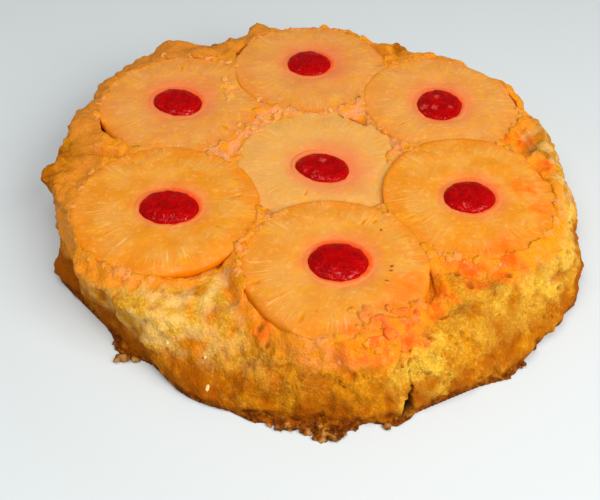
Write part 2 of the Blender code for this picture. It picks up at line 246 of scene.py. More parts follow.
class Recipe:
    """One material's node tree, built up step by step. Places in it are in millimetres."""

    def __init__(self, name: str, centre: Spot = (0.0, 0.0)) -> None:
        """Starts a material.

        Args:
            name: The material's name.
            centre: What its patterns are laid round, in millimetres.
        """
        self.material = bpy.data.materials.new(name)
        self.material.use_nodes = True
        self.tree = self.material.node_tree
        self.shader = self.tree.nodes["Principled BSDF"]
        own = self.tree.nodes.new("ShaderNodeTexCoord")
        mapping = self.tree.nodes.new("ShaderNodeMapping")
        mapping.inputs["Location"].default_value = (-centre[0], -centre[1], 0)
        mapping.inputs["Scale"].default_value = (1 / MM, 1 / MM, 1 / MM)
        self.tree.links.new(own.outputs["Object"], mapping.inputs["Vector"])
        self.place = mapping.outputs["Vector"]

    def put(self, socket: bpy.types.NodeSocket, value: object) -> None:
        """Links a socket to another one, or gives it a plain value.

        Args:
            socket: The input that takes it.
            value: The other socket, or the plain value.
        """
        if isinstance(value, bpy.types.NodeSocket):
            self.tree.links.new(value, socket)
        else:
            socket.default_value = value

    def maths(self, operation: str, first: object, second: object) -> bpy.types.NodeSocket:
        """The result of one sum on two numbers.

        Args:
            operation: The kind of sum.
            first: A number, or a socket.
            second: The other one.

        Returns:
            The result's socket.
        """
        node = self.tree.nodes.new("ShaderNodeMath")
        node.operation = operation
        self.put(node.inputs[0], first)
        self.put(node.inputs[1], second)
        return node.outputs[0]

    def times(self, first: object, second: object) -> bpy.types.NodeSocket:
        """The product of two numbers."""
        return self.maths("MULTIPLY", first, second)

    def step(self, value: object, start: float, end: float, low: float = 0.0,
             high: float = 1.0) -> bpy.types.NodeSocket:
        """A number that goes smoothly from low to high as value goes from start to end.

        Args:
            value: The number that is measured, as a socket.
            start: The value up to which the result is low.
            end: The value from which it is high.
            low: The result at the start.
            high: The result at the end.

        Returns:
            The result's socket.
        """
        node = self.tree.nodes.new("ShaderNodeMapRange")
        node.interpolation_type = "SMOOTHSTEP"
        self.put(node.inputs["Value"], value)
        node.inputs["From Min"].default_value = start
        node.inputs["From Max"].default_value = end
        node.inputs["To Min"].default_value = low
        node.inputs["To Max"].default_value = high
        return node.outputs["Result"]

    def cloud(self, size: float, detail: float = 2.0, place: object = None,
              roughness: float = 0.55) -> bpy.types.NodeSocket:
        """Noise from 0 to 1, with patches of the given size in millimetres.

        Args:
            size: How big the patches are, in millimetres.
            detail: How many finer layers they have.
            place: Where the noise is read, or None for the plain place.
            roughness: How strong the finer layers are.

        Returns:
            The noise's socket.
        """
        node = self.tree.nodes.new("ShaderNodeTexNoise")
        self.put(node.inputs["Vector"], self.place if place is None else place)
        node.inputs["Scale"].default_value = 1 / size
        node.inputs["Detail"].default_value = detail
        node.inputs["Roughness"].default_value = roughness
        return node.outputs["Fac"]

    def scaled_place(self, x: float, y: float, z: float) -> bpy.types.NodeSocket:
        """The place with each part multiplied, so a pattern stretches where that is below 1.

        Args:
            x: What the first part is multiplied by.
            y: What the second part is multiplied by.
            z: What the height is multiplied by.

        Returns:
            The new place's socket.
        """
        node = self.tree.nodes.new("ShaderNodeVectorMath")
        node.operation = "MULTIPLY"
        self.put(node.inputs[0], self.place)
        node.inputs[1].default_value = (x, y, z)
        return node.outputs[0]

    def cells(self, size: float) -> bpy.types.NodeSocket:
        """Distance to the nearest of a scatter of points, that far apart in millimetres.

        Args:
            size: How far apart the points are, in millimetres.

        Returns:
            The distance's socket.
        """
        node = self.tree.nodes.new("ShaderNodeTexVoronoi")
        self.put(node.inputs["Vector"], self.place)
        node.inputs["Scale"].default_value = 1 / size
        return node.outputs["Distance"]

    def kept(self, name: str) -> bpy.types.NodeSocket:
        """A number that the piece's points hold."""
        node = self.tree.nodes.new("ShaderNodeAttribute")
        node.attribute_name = name
        return node.outputs["Fac"]

    def blend(self, share: object, under: object, over: object) -> bpy.types.NodeSocket:
        """Lays one colour over another.

        Args:
            share: How much of the upper one, from 0 to 1.
            under: The lower colour, or a socket.
            over: The upper colour, or a socket.

        Returns:
            The mixed colour's socket.
        """
        node = self.tree.nodes.new("ShaderNodeMix")
        node.data_type = "RGBA"
        node.blend_type = "MIX"
        node.clamp_factor = True
        self.put(node.inputs[0], share)
        # This node's number and colour sockets share their names, so they are taken by position
        for socket, value in ((node.inputs[6], under), (node.inputs[7], over)):
            self.put(socket, linear(value) if isinstance(value, tuple) else value)
        return node.outputs[2]

    def bump(self, height: object, depth: float, under: object = None) -> bpy.types.NodeSocket:
        """Relief finer than the mesh.

        Args:
            height: What gives the relief, from 0 to 1.
            depth: How deep it is, in millimetres.
            under: A coarser relief that it lies on.

        Returns:
            The normal's socket.
        """
        node = self.tree.nodes.new("ShaderNodeBump")
        node.inputs["Distance"].default_value = depth * MM
        self.put(node.inputs["Height"], height)
        if under is not None:
            self.put(node.inputs["Normal"], under)
        return node.outputs["Normal"]

    def flesh(self, weight: object, radius: tuple[float, float, float]) -> None:
        """Lets light through the surface, for each colour as far as radius says, in millimetres."""
        self.put(self.shader.inputs["Subsurface Weight"], weight)
        self.shader.inputs["Subsurface Radius"].default_value = radius
        self.shader.inputs["Subsurface Scale"].default_value = MM

    def shine(self, level: float, coat_roughness: float) -> None:
        """Sets how much the surface itself mirrors, and how dull the film of juice over it is."""
        self.shader.inputs["Specular IOR Level"].default_value = level
        self.shader.inputs["Coat Roughness"].default_value = coat_roughness


@dataclass(frozen=True)
class SpongeFinish:
    """Open golden crumb, brown from baking low down, soaked and stained with caramel on top, with
    painted shade down its left side, along its base, in its crevices and inside its crack.
    """

    crumb: Colour = (212, 138, 7)
    deep_crumb: Colour = (178, 98, 1)
    fresh_crumb: Colour = (230, 182, 52)
    bright_crumb: Colour = (244, 202, 92)
    # Baked brown, also used as painted shade down the left side and between the crumb's beads
    baked_and_shade: Colour = (160, 80, 2)
    # Dark crust, also used as painted shade along the base
    crust: Colour = (84, 34, 5)
    soaked: Colour = (234, 142, 16)
    rosy: Colour = (240, 152, 94)
    toasted: Colour = (202, 124, 40)
    caramel: Colour = (243, 95, 6)
    # Painted shade for crevices, pits, furrows and holes
    crevice_shade: Colour = (162, 76, 6)
    # Painted shade inside the crack
    crack_shade: Colour = (52, 20, 2)
    pale: Colour = (255, 216, 140)

    def material(self) -> bpy.types.Material:
        """The material, which reads the browning with painted shade on the left side, the crust
        with painted shade along the base, freshness, soaking, rosiness, toasting, staining, painted
        shade in crevices and inside the crack, and paleness.

        Returns:
            The new material.
        """
        mix = Recipe("sponge")
        upright = mix.scaled_place(1, 1, 0.4)
        grain = mix.cloud(1.3, 3.0, roughness=0.7)
        bead = mix.cells(1.3)
        broad = mix.step(mix.cloud(12.0, 3.0, upright), 0.38, 0.6)
        colour = mix.blend(broad, self.deep_crumb, self.crumb)
        close = mix.step(mix.cloud(3.5, 3.0, upright), 0.35, 0.65, 0.0, 0.6)
        colour = mix.blend(close, colour, self.deep_crumb)
        colour = mix.blend(mix.kept("fresh"), colour, self.fresh_crumb)
        strength = mix.step(mix.kept("fresh"), 0.0, 1.0, 0.22, 0.5)
        light = mix.times(mix.step(mix.cloud(1.8, 3.0), 0.48, 0.66), strength)
        colour = mix.blend(light, colour, self.bright_crumb)
        patches = mix.step(mix.cloud(11.0, 4.0, upright), 0.3, 0.58)
        # Baked brown in patches; down the left side this is painted shade
        colour = mix.blend(mix.times(mix.kept("browned_and_shaded"), patches), colour, self.baked_and_shade)
        pink = mix.times(mix.kept("rosy"), mix.step(mix.cloud(6.0, 3.0), 0.36, 0.6))
        top = mix.blend(pink, self.soaked, self.rosy)
        top = mix.blend(mix.kept("toasted"), top, self.toasted)
        colour = mix.blend(mix.kept("soaked"), colour, top)
        stain = mix.times(mix.kept("stained"), mix.step(mix.cloud(6.0, 4.0), 0.28, 0.66))
        colour = mix.blend(stain, colour, self.caramel)
        # Dark crust; along the base it is also painted shade
        dark = mix.times(mix.kept("crust_and_base_shade"), mix.step(mix.cloud(4.0, 3.0), 0.3, 0.55))
        colour = mix.blend(dark, colour, self.crust)
        dry = mix.step(mix.kept("soaked"), 0.0, 1.0, 0.28, 0.03)
        # Painted shade: the gaps between the raised crumb beads are darkened, most on dry crumb
        between = mix.times(mix.step(bead, 0.35, 0.75), dry)
        colour = mix.blend(between, colour, self.baked_and_shade)
        # Painted shade in crevices, pits, furrows and holes
        colour = mix.blend(mix.times(mix.kept("crevice_shade"), 0.8), colour, self.crevice_shade)
        # Painted shade inside the crack
        colour = mix.blend(mix.kept("crack_shade"), colour, self.crack_shade)
        colour = mix.blend(mix.kept("pale"), colour, self.pale)
        mix.put(mix.shader.inputs["Base Color"], colour)
        mix.put(mix.shader.inputs["Roughness"], mix.step(mix.kept("soaked"), 0.0, 1.0, 0.8, 0.5))
        wet = mix.times(mix.kept("soaked"), mix.step(mix.cloud(4.0, 3.0), 0.48, 0.66))
        mix.put(mix.shader.inputs["Coat Weight"], mix.times(wet, 0.3))
        relief = mix.bump(mix.step(bead, 0.0, 0.8, 1.0, 0.0), 0.27)
        mix.put(mix.shader.inputs["Normal"], mix.bump(grain, 0.34, relief))
        juicy = mix.step(mix.kept("soaked"), 0.0, 1.0, 0.12, 0.45)
        mix.flesh(juicy, (3.2, 1.6, 0.5))
        mix.shine(0.03, 0.2)
        return mix.material


@dataclass(frozen=True)
class PineappleFinish:
    """Wet, translucent fruit: amber flesh with pale radial fibres, whose strokes are partly painted
    wet highlights, reddened round its cherry.
    """

    flesh: Colour = (224, 138, 30)
    pale: Colour = (226, 153, 60)
    palest: Colour = (222, 162, 84)
    amber: Colour = (230, 124, 8)
    # The fibre colour, whose pale strokes also stand in as painted wet highlights
    fibre: Colour = (246, 188, 112)
    ripe_yellow: Colour = (234, 158, 26)
    side: Colour = (226, 124, 4)
    slit: Colour = (222, 132, 0)
    rosy: Colour = (220, 132, 80)
    blush: Colour = (232, 108, 72)
    juice: Colour = (248, 66, 4)
    caramel: Colour = (244, 108, 14)
    speck: Colour = (140, 30, 8)
    streak: Colour = (255, 206, 140)

    def material(self, name: str, centre: Spot, radius: float, paleness: float,
                 rosiness: float) -> bpy.types.Material:
        """The material of one ring, which reads rim, slit, blush, juice, caramel, speck and streak.

        Args:
            name: The material's name.
            centre: The ring's middle, in millimetres.
            radius: Its outer radius, in millimetres.
            paleness: How much paler than the others it is, from 0 to 1.
            rosiness: How pink it has turned all over, from 0 to 1.

        Returns:
            The new material.
        """
        mix = Recipe(name, centre)
        flat = mix.scaled_place(1, 1, 0)
        length = mix.tree.nodes.new("ShaderNodeVectorMath")
        length.operation = "LENGTH"
        mix.put(length.inputs[0], flat)
        away = length.outputs["Value"]
        heading = mix.tree.nodes.new("ShaderNodeVectorMath")
        heading.operation = "NORMALIZE"
        mix.put(heading.inputs[0], flat)

        def fibres(count: float, stretch: float) -> bpy.types.NodeSocket:
            """Radial streaks: count of them in each radian, each about stretch long.

            Args:
                count: How many streaks there are in each radian.
                stretch: How long each is, in millimetres.

            Returns:
                The streaks' socket, from 0 to 1.
            """
            turn = mix.tree.nodes.new("ShaderNodeVectorMath")
            turn.operation = "SCALE"
            mix.put(turn.inputs[0], heading.outputs[0])
            turn.inputs["Scale"].default_value = count
            along = mix.tree.nodes.new("ShaderNodeCombineXYZ")
            mix.put(along.inputs["Z"], mix.maths("DIVIDE", away, stretch))
            total = mix.tree.nodes.new("ShaderNodeVectorMath")
            total.operation = "ADD"
            mix.put(total.inputs[0], turn.outputs[0])
            mix.put(total.inputs[1], along.outputs[0])
            return mix.cloud(1.0, 2.0, total.outputs[0])

        broad = fibres(9.0, 16.0)
        fine = fibres(42.0, 13.0)
        outer = mix.step(away, 0.45 * radius, 0.85 * radius)
        shown = mix.times(outer, mix.step(mix.cloud(14.0, 1.0), 0.38, 0.6))
        colour = mix.blend(mix.step(mix.cloud(13.0, 4.0), 0.38, 0.62), self.flesh, self.pale)
        if paleness:
            colour = mix.blend(paleness, colour, self.palest)
        if rosiness:
            tinged = mix.step(mix.cloud(18.0, 2.0), 0.3, 0.62, 0.2 * rosiness, rosiness)
            colour = mix.blend(tinged, colour, self.rosy)
        ripe = mix.times(mix.step(broad, 0.46, 0.68), outer)
        colour = mix.blend(mix.times(ripe, 0.36 * (1 - paleness)), colour, self.amber)
        rind = mix.step(away, 0.78 * radius, radius)
        colour = mix.blend(mix.times(rind, 0.6 * (1 - paleness)), colour, self.amber)
        # Pale fibres in the outer part; their strokes are partly painted wet highlights
        pale_fibre_and_sheen = mix.times(mix.step(fine, 0.54, 0.7), shown)
        colour = mix.blend(mix.times(pale_fibre_and_sheen, 0.5), colour, self.fibre)
        yellow = mix.step(mix.cloud(7.0, 4.0), 0.52, 0.66, 0.0, 0.5)
        colour = mix.blend(yellow, colour, self.ripe_yellow)
        milky = mix.step(mix.cloud(2.4, 4.0), 0.52, 0.72, 0.0, 0.3)
        colour = mix.blend(milky, colour, self.fibre)
        burnt = mix.times(mix.kept("caramel"), mix.step(mix.cloud(7.0, 5.0), 0.3, 0.72))
        colour = mix.blend(burnt, colour, self.caramel)
        colour = mix.blend(mix.kept("rim"), colour, self.side)
        colour = mix.blend(mix.kept("slit"), colour, self.slit)
        colour = mix.blend(mix.times(mix.kept("streak"), 0.35), colour, self.streak)
        colour = mix.blend(mix.times(mix.kept("blush"), 0.7), colour, self.blush)
        colour = mix.blend(mix.kept("juice"), colour, self.juice)
        colour = mix.blend(mix.kept("speck"), colour, self.speck)
        mix.put(mix.shader.inputs["Base Color"], colour)
        mix.put(mix.shader.inputs["Roughness"], mix.step(mix.cloud(3.0, 3.0), 0.3, 0.7, 0.25, 0.45))
        relief = mix.bump(mix.times(fine, shown), 0.3)
        mix.put(mix.shader.inputs["Normal"], mix.bump(mix.cloud(1.8, 4.0), 0.3, relief))
        wet = mix.step(mix.cloud(5.0, 4.0), 0.5, 0.68, 0.0, 0.4)
        mix.put(mix.shader.inputs["Coat Weight"], wet)
        mix.flesh(0.25, (4.0, 1.6, 0.4))
        mix.shine(0.08, 0.1)
        return mix.material


@dataclass(frozen=True)
class CherryFinish:
    """Wet deep red fruit with a fine wrinkled skin."""

    skin: Colour = (178, 0, 1)
    deep: Colour = (156, 0, 1)
    thin: Colour = (180, 2, 1)
    # Pale pit marks, and on the back-right cherry painted highlights
    pith_and_highlight: Colour = (214, 84, 70)

    def material(self) -> bpy.types.Material:
        """The material, which reads from the piece where the skin is thin, and where it has pale
        pit marks and painted highlights.

        Returns:
            The new material.
        """
        mix = Recipe("cherry")
        colour = mix.blend(mix.step(mix.cloud(5.0, 2.0), 0.35, 0.65), self.deep, self.skin)
        colour = mix.blend(mix.kept("thin"), colour, self.thin)
        # Pale pit marks and painted highlights
        colour = mix.blend(mix.kept("pith_and_highlight"), colour, self.pith_and_highlight)
        mix.put(mix.shader.inputs["Base Color"], colour)
        smooth = mix.step(mix.cloud(2.2, 2.0), 0.35, 0.65, 0.06, 0.16)
        mix.put(mix.shader.inputs["Roughness"], smooth)
        wrinkled = mix.bump(mix.cloud(1.6, 2.0), 0.5)
        mix.put(mix.shader.inputs["Normal"], mix.bump(mix.cloud(0.55, 3.0), 0.3, wrinkled))
        glints = mix.step(mix.cloud(1.0, 3.0), 0.52, 0.62, 0.0, 0.7)
        mix.put(mix.shader.inputs["Coat Weight"], glints)
        mix.shine(0.04, 0.07)
        return mix.material


@dataclass(frozen=True)
class FloorFinish:
    """A plain pale table."""

    colour: Colour = (214, 219, 218)

    def material(self) -> bpy.types.Material:
        """The floor's material."""
        mix = Recipe("floor")
        mix.shader.inputs["Base Color"].default_value = linear(self.colour)
        mix.shader.inputs["Roughness"].default_value = 0.55
        return mix.material


# The fruit


@dataclass(frozen=True)
class Slit:
    """A lens-shaped gap between the fruit's segments, which runs along a ring's radius."""

    x: float
    y: float
    length: float = 5.0
    width: float = 1.1
    depth: float = 0.7

    def share(self, spot: Vector, centre: Spot) -> float:
        """How far into the slit a place is, from 0 outside it to 1 in its middle.

        Args:
            spot: The place, in millimetres.
            centre: The middle of its ring.

        Returns:
            0 outside the slit, 1 in its middle.
        """
        out = Vector((self.x - centre[0], self.y - centre[1])).normalized()
        away = Vector((spot.x - self.x, spot.y - self.y))
        along = away.dot(out) / (self.length / 2)
        across = away.dot(Vector((-out.y, out.x))) / (self.width / 2)
        return max(0.0, 1 - along**2 - across**2)


@dataclass
class Cherry:
    """One flattened cherry."""

    name: str
    detail: int = 3
    """How often its faces are divided."""
    wrinkle_width: float = 3.4
    wrinkle_depth: float = 0.5
    crease_width: float = 1.5
    crease_depth: float = 0.14
    # Pale marks, as x, y and radius: pit holes, and on the back-right cherry painted highlights
    pith_and_highlight_spots: tuple[tuple[float, float, float], ...] = ()

    def build(self, finish: bpy.types.Material) -> bpy.types.Object:
        """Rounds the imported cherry, wrinkles its skin and dresses it.

        Args:
            finish: The cherries' material.

        Returns:
            The finished piece.
        """
        node = "cherry_" + self.name
        piece = copy_of_node(node, "fruit_" + node)
        finish_modifier(piece, "SUBSURF", levels=self.detail, render_levels=self.detail)
        low, high = (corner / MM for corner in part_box(node))
        middle = (low + high) / 2
        half = (high - low) / 2
        spots, facing = spots_of(piece), normals_of(piece)
        thin = np.zeros(len(spots))
        pith_and_highlight = np.zeros(len(spots))
        for index, (row, normal) in enumerate(zip(spots, facing)):
            spot = Vector(row)
            up = ease(normal[2], 0.0, 0.6)
            folds = unit_noise(spot / self.wrinkle_width) * self.wrinkle_depth
            creases = unit_noise(spot / self.crease_width) * self.crease_depth
            spots[index] += normal * (up * (folds + creases))
            reach = Vector(((spot.x - middle.x) / half.x, (spot.y - middle.y) / half.y)).length
            thin[index] = ease(reach, 0.8, 1.0) * 0.7
            for x, y, size in self.pith_and_highlight_spots:
                off = away_from(spot, x, y) / size
                ragged = off + 0.7 * unit_noise(spot / 1.0)
                pith_and_highlight[index] = max(pith_and_highlight[index], 0.6 * ease(ragged, 1.1, 0.3))
        move_to(piece, spots)
        keep(piece, "thin", thin)
        keep(piece, "pith_and_highlight", pith_and_highlight)
        return dress(piece, finish, node)


@dataclass
class Ring:
    """One ring of pineapple, whose hole a cherry fills."""

    name: str
    centre: Spot
    radius: float
    paleness: float = 0.0
    rosiness: float = 0.0
    slits: tuple[Slit, ...] = ()
    streaks: tuple[Slit, ...] = ()
    caramel_spots: tuple[tuple[float, float, float], ...] = ()
    specks: tuple[tuple[float, float, float], ...] = ()
    bare_edges: tuple[tuple[float, float], ...] = ()
    """Where the sponge keeps clear of its edge: (angle, half width)."""
    bareness: float = 1.0
    """How clear the sponge keeps there, from 0 to 1."""
    edge_wave: float = 0.5
    fibre_count: float = 15.0
    fibre_depth: float = 0.1
    dip_width: float = 9.0
    dip_depth: float = 0.45
    detail: int = 3
    """How often its faces are divided."""
    fruit_reach: float = 4.5
    cherry_reach: float = 3.2
    """How far its edge is drawn to the fruit over it, and to its cherry."""
    rounded_depths: tuple[float, float] = (4.4, 3.0)
    """How deep under its top the edge stays rounded, and above which depth it is all squared."""
    blush_reach: float = 8.0
    red_side: float = 60.0
    """The direction in which its cherry has reddened it most."""
    redness: float = 0.5
    """How strong the line of juice round its cherry is, from 0 to 1."""
    plane: np.ndarray | None = None
    """Slopes of its top face, and its height over the origin, once it is built."""

    def build(self, finish: PineappleFinish, cherry: bpy.types.Object,
              over: list[bpy.types.Object]) -> bpy.types.Object:
        """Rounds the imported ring, closes it round its cherry and gives it its fibres.

        Args:
            finish: The fruit's finish.
            cherry: The cherry in its hole.
            over: The rings that lie over this one and are finished already.

        Returns:
            The finished piece.
        """
        node = "pineapple_ring_" + self.name
        piece = copy_of_node(node, "fruit_" + node)
        finish_modifier(piece, "SUBSURF", levels=self.detail, render_levels=self.detail)
        spots, facing = spots_of(piece), normals_of(piece)
        flat = spots[facing[:, 2] > 0.97]
        table = np.column_stack([flat[:, :2], np.ones(len(flat))])
        self.plane = np.linalg.lstsq(table, flat[:, 2], rcond=None)[0]
        cherry_tree = search_tree([cherry])
        upper_tree = search_tree(over) if over else None
        names = ("rim", "slit", "blush", "juice", "caramel", "speck", "streak")
        kinds = {name: np.zeros(len(spots)) for name in names}
        for index, (row, normal) in enumerate(zip(spots, facing)):
            spot = Vector(row)
            if upper_tree:
                spot = self.closed_on(spot, upper_tree, self.fruit_reach, 0.5)
            kinds["rim"][index] = ease(self.level(spot) - spot.z, 0.9, 2.6)
            spot = self.closed_on(spot, cherry_tree, self.cherry_reach, 0.15)
            spot = self.sunk_in(spot)
            _, _, _, to_cherry = cherry_tree.find_nearest(Vector(row))
            angle = math.atan2(spot.y - self.centre[1], spot.x - self.centre[0])
            towards = math.cos(angle - math.radians(self.red_side))
            uneven = 1 + 0.35 * unit_noise(spot / 6) + 0.35 * towards
            kinds["blush"][index] = ease(to_cherry / uneven, self.blush_reach, -1.0)
            thin_line = ease(to_cherry + 0.6 * unit_noise(spot / 2), 2.3 + 1.4 * towards, 0.2)
            kinds["juice"][index] = self.redness * thin_line * ease(towards, -1.2, 0.6)
            kinds["caramel"][index] = self.spotted(spot, self.caramel_spots, 1.2, 0.2)
            kinds["speck"][index] = self.spotted(spot, self.specks, 1.1, 0.8)
            shares = [each.share(spot, self.centre) for each in self.streaks]
            kinds["streak"][index] = ease(max(shares, default=0.0), 0.0, 0.7)
            spot, kinds["slit"][index] = self.textured(spot, Vector(normal))
            spots[index] = spot
        move_to(piece, spots)
        for name, values in kinds.items():
            keep(piece, name, values)
        material = finish.material(node, self.centre, self.radius, self.paleness, self.rosiness)
        return dress(piece, material, node)

    def level(self, spot: Vector) -> float:
        """Height of its top face at a place."""
        return self.plane[0] * spot.x + self.plane[1] * spot.y + self.plane[2]

    def outside(self, spot: Vector) -> float:
        """How far outside its edge a place is, seen from above."""
        return away_from(spot, *self.centre) - self.radius

    def bare(self, spot: Vector) -> float:
        """1 where the sponge keeps clear of its edge, 0 where it has risen against it.

        Args:
            spot: The place, in millimetres.

        Returns:
            The share, from 0 to 1.
        """
        angle = math.degrees(math.atan2(spot.y - self.centre[1], spot.x - self.centre[0]))
        shares = [ease(abs(turn_between(angle, middle)), half * 1.3, half * 0.7)
                  for middle, half in self.bare_edges]
        return self.bareness * max(shares, default=0.0)

    def closed_on(self, spot: Vector, other: BVHTree, reach: float, overlap: float) -> Vector:
        """Takes the rounding off an edge that meets another fruit, and closes the gap to it.

        Args:
            spot: The place, in millimetres.
            other: The other fruit.
            reach: How far away the pull ends.
            overlap: How far past its surface the nearest places go.

        Returns:
            The place after the move.
        """
        near, _, _, away = other.find_nearest(spot, reach)
        if near is None:
            return spot
        depth = self.level(spot) - spot.z
        squared = ease(away, reach, reach * 0.5) * ease(depth, *self.rounded_depths)
        spot.z += (depth - 0.15) * squared
        return spot + press(spot, other, reach * 0.6, overlap)

    def sunk_in(self, spot: Vector) -> Vector:
        """Takes most of the rounding off the outer edge where the sponge has risen against it, and
        lets that edge reach a little way into the sponge.

        Args:
            spot: The place, in millimetres.

        Returns:
            The place after the move.
        """
        close = ease(self.outside(spot), -9.0, -2.0) * (1 - self.bare(spot))
        depth = self.level(spot) - spot.z
        spot.z += 0.75 * depth * close * ease(depth, *self.rounded_depths)
        out = Vector((spot.x - self.centre[0], spot.y - self.centre[1], 0)).normalized()
        return spot + out * (0.9 * close * ease(self.outside(spot), -3.5, -1.0))

    def spotted(self, spot: Vector, marks: tuple[tuple[float, float, float], ...],
                outer: float, inner: float) -> float:
        """How much of a mark there is at a place, for marks given as x, y and radius.

        Args:
            spot: The place, in millimetres.
            marks: The marks.
            outer: Where a mark begins, as a share of its radius.
            inner: Where it is full, as a share of its radius.

        Returns:
            The share, from 0 to 1.
        """
        deepest = 0.0
        for x, y, size in marks:
            off = away_from(spot, x, y) / size
            off += 0.35 * unit_noise(spot / (size * 0.6))
            deepest = max(deepest, ease(off, outer, inner))
        return deepest

    def textured(self, spot: Vector, normal: Vector) -> tuple[Vector, float]:
        """Moves a place by the fibres, dips and slits of the fruit.

        Args:
            spot: The place, in millimetres.
            normal: The direction that it faces.

        Returns:
            The place after the move, and how far into a slit it is.
        """
        out = Vector((spot.x - self.centre[0], spot.y - self.centre[1], 0))
        away = out.length
        out.normalize()
        fibre = unit_noise(out * self.fibre_count + Vector((0, 0, away / 14)))
        up = ease(normal.z, 0.2, 0.8) * ease(away, 0.4 * self.radius, 0.6 * self.radius)
        dip = unit_noise(Vector((spot.x, spot.y, 3)) / self.dip_width) * self.dip_depth
        slit = max([each.share(spot, self.centre) for each in self.slits], default=0.0)
        deepest = max([each.depth for each in self.slits], default=0.0)
        lift = up * fibre * self.fibre_depth + ease(normal.z, 0.2, 0.8) * dip
        sink = slit * deepest * ease(normal.z, 0.2, 0.8)
        wave = unit_noise(out * 3.5 + Vector((self.radius, 0, 0))) * self.edge_wave
        sideways = out * (wave * ease(away, 0.75 * self.radius, 0.95 * self.radius))
        return spot + sideways + Vector((0, 0, lift - sink)), ease(slit, 0.0, 0.6)


# The sponge


@dataclass(frozen=True)
class CrackPoint:
    """One point of the crack in the front, or of a furrow in the top."""

    place: tuple[float, float, float]
    half_width: float
    depth: float


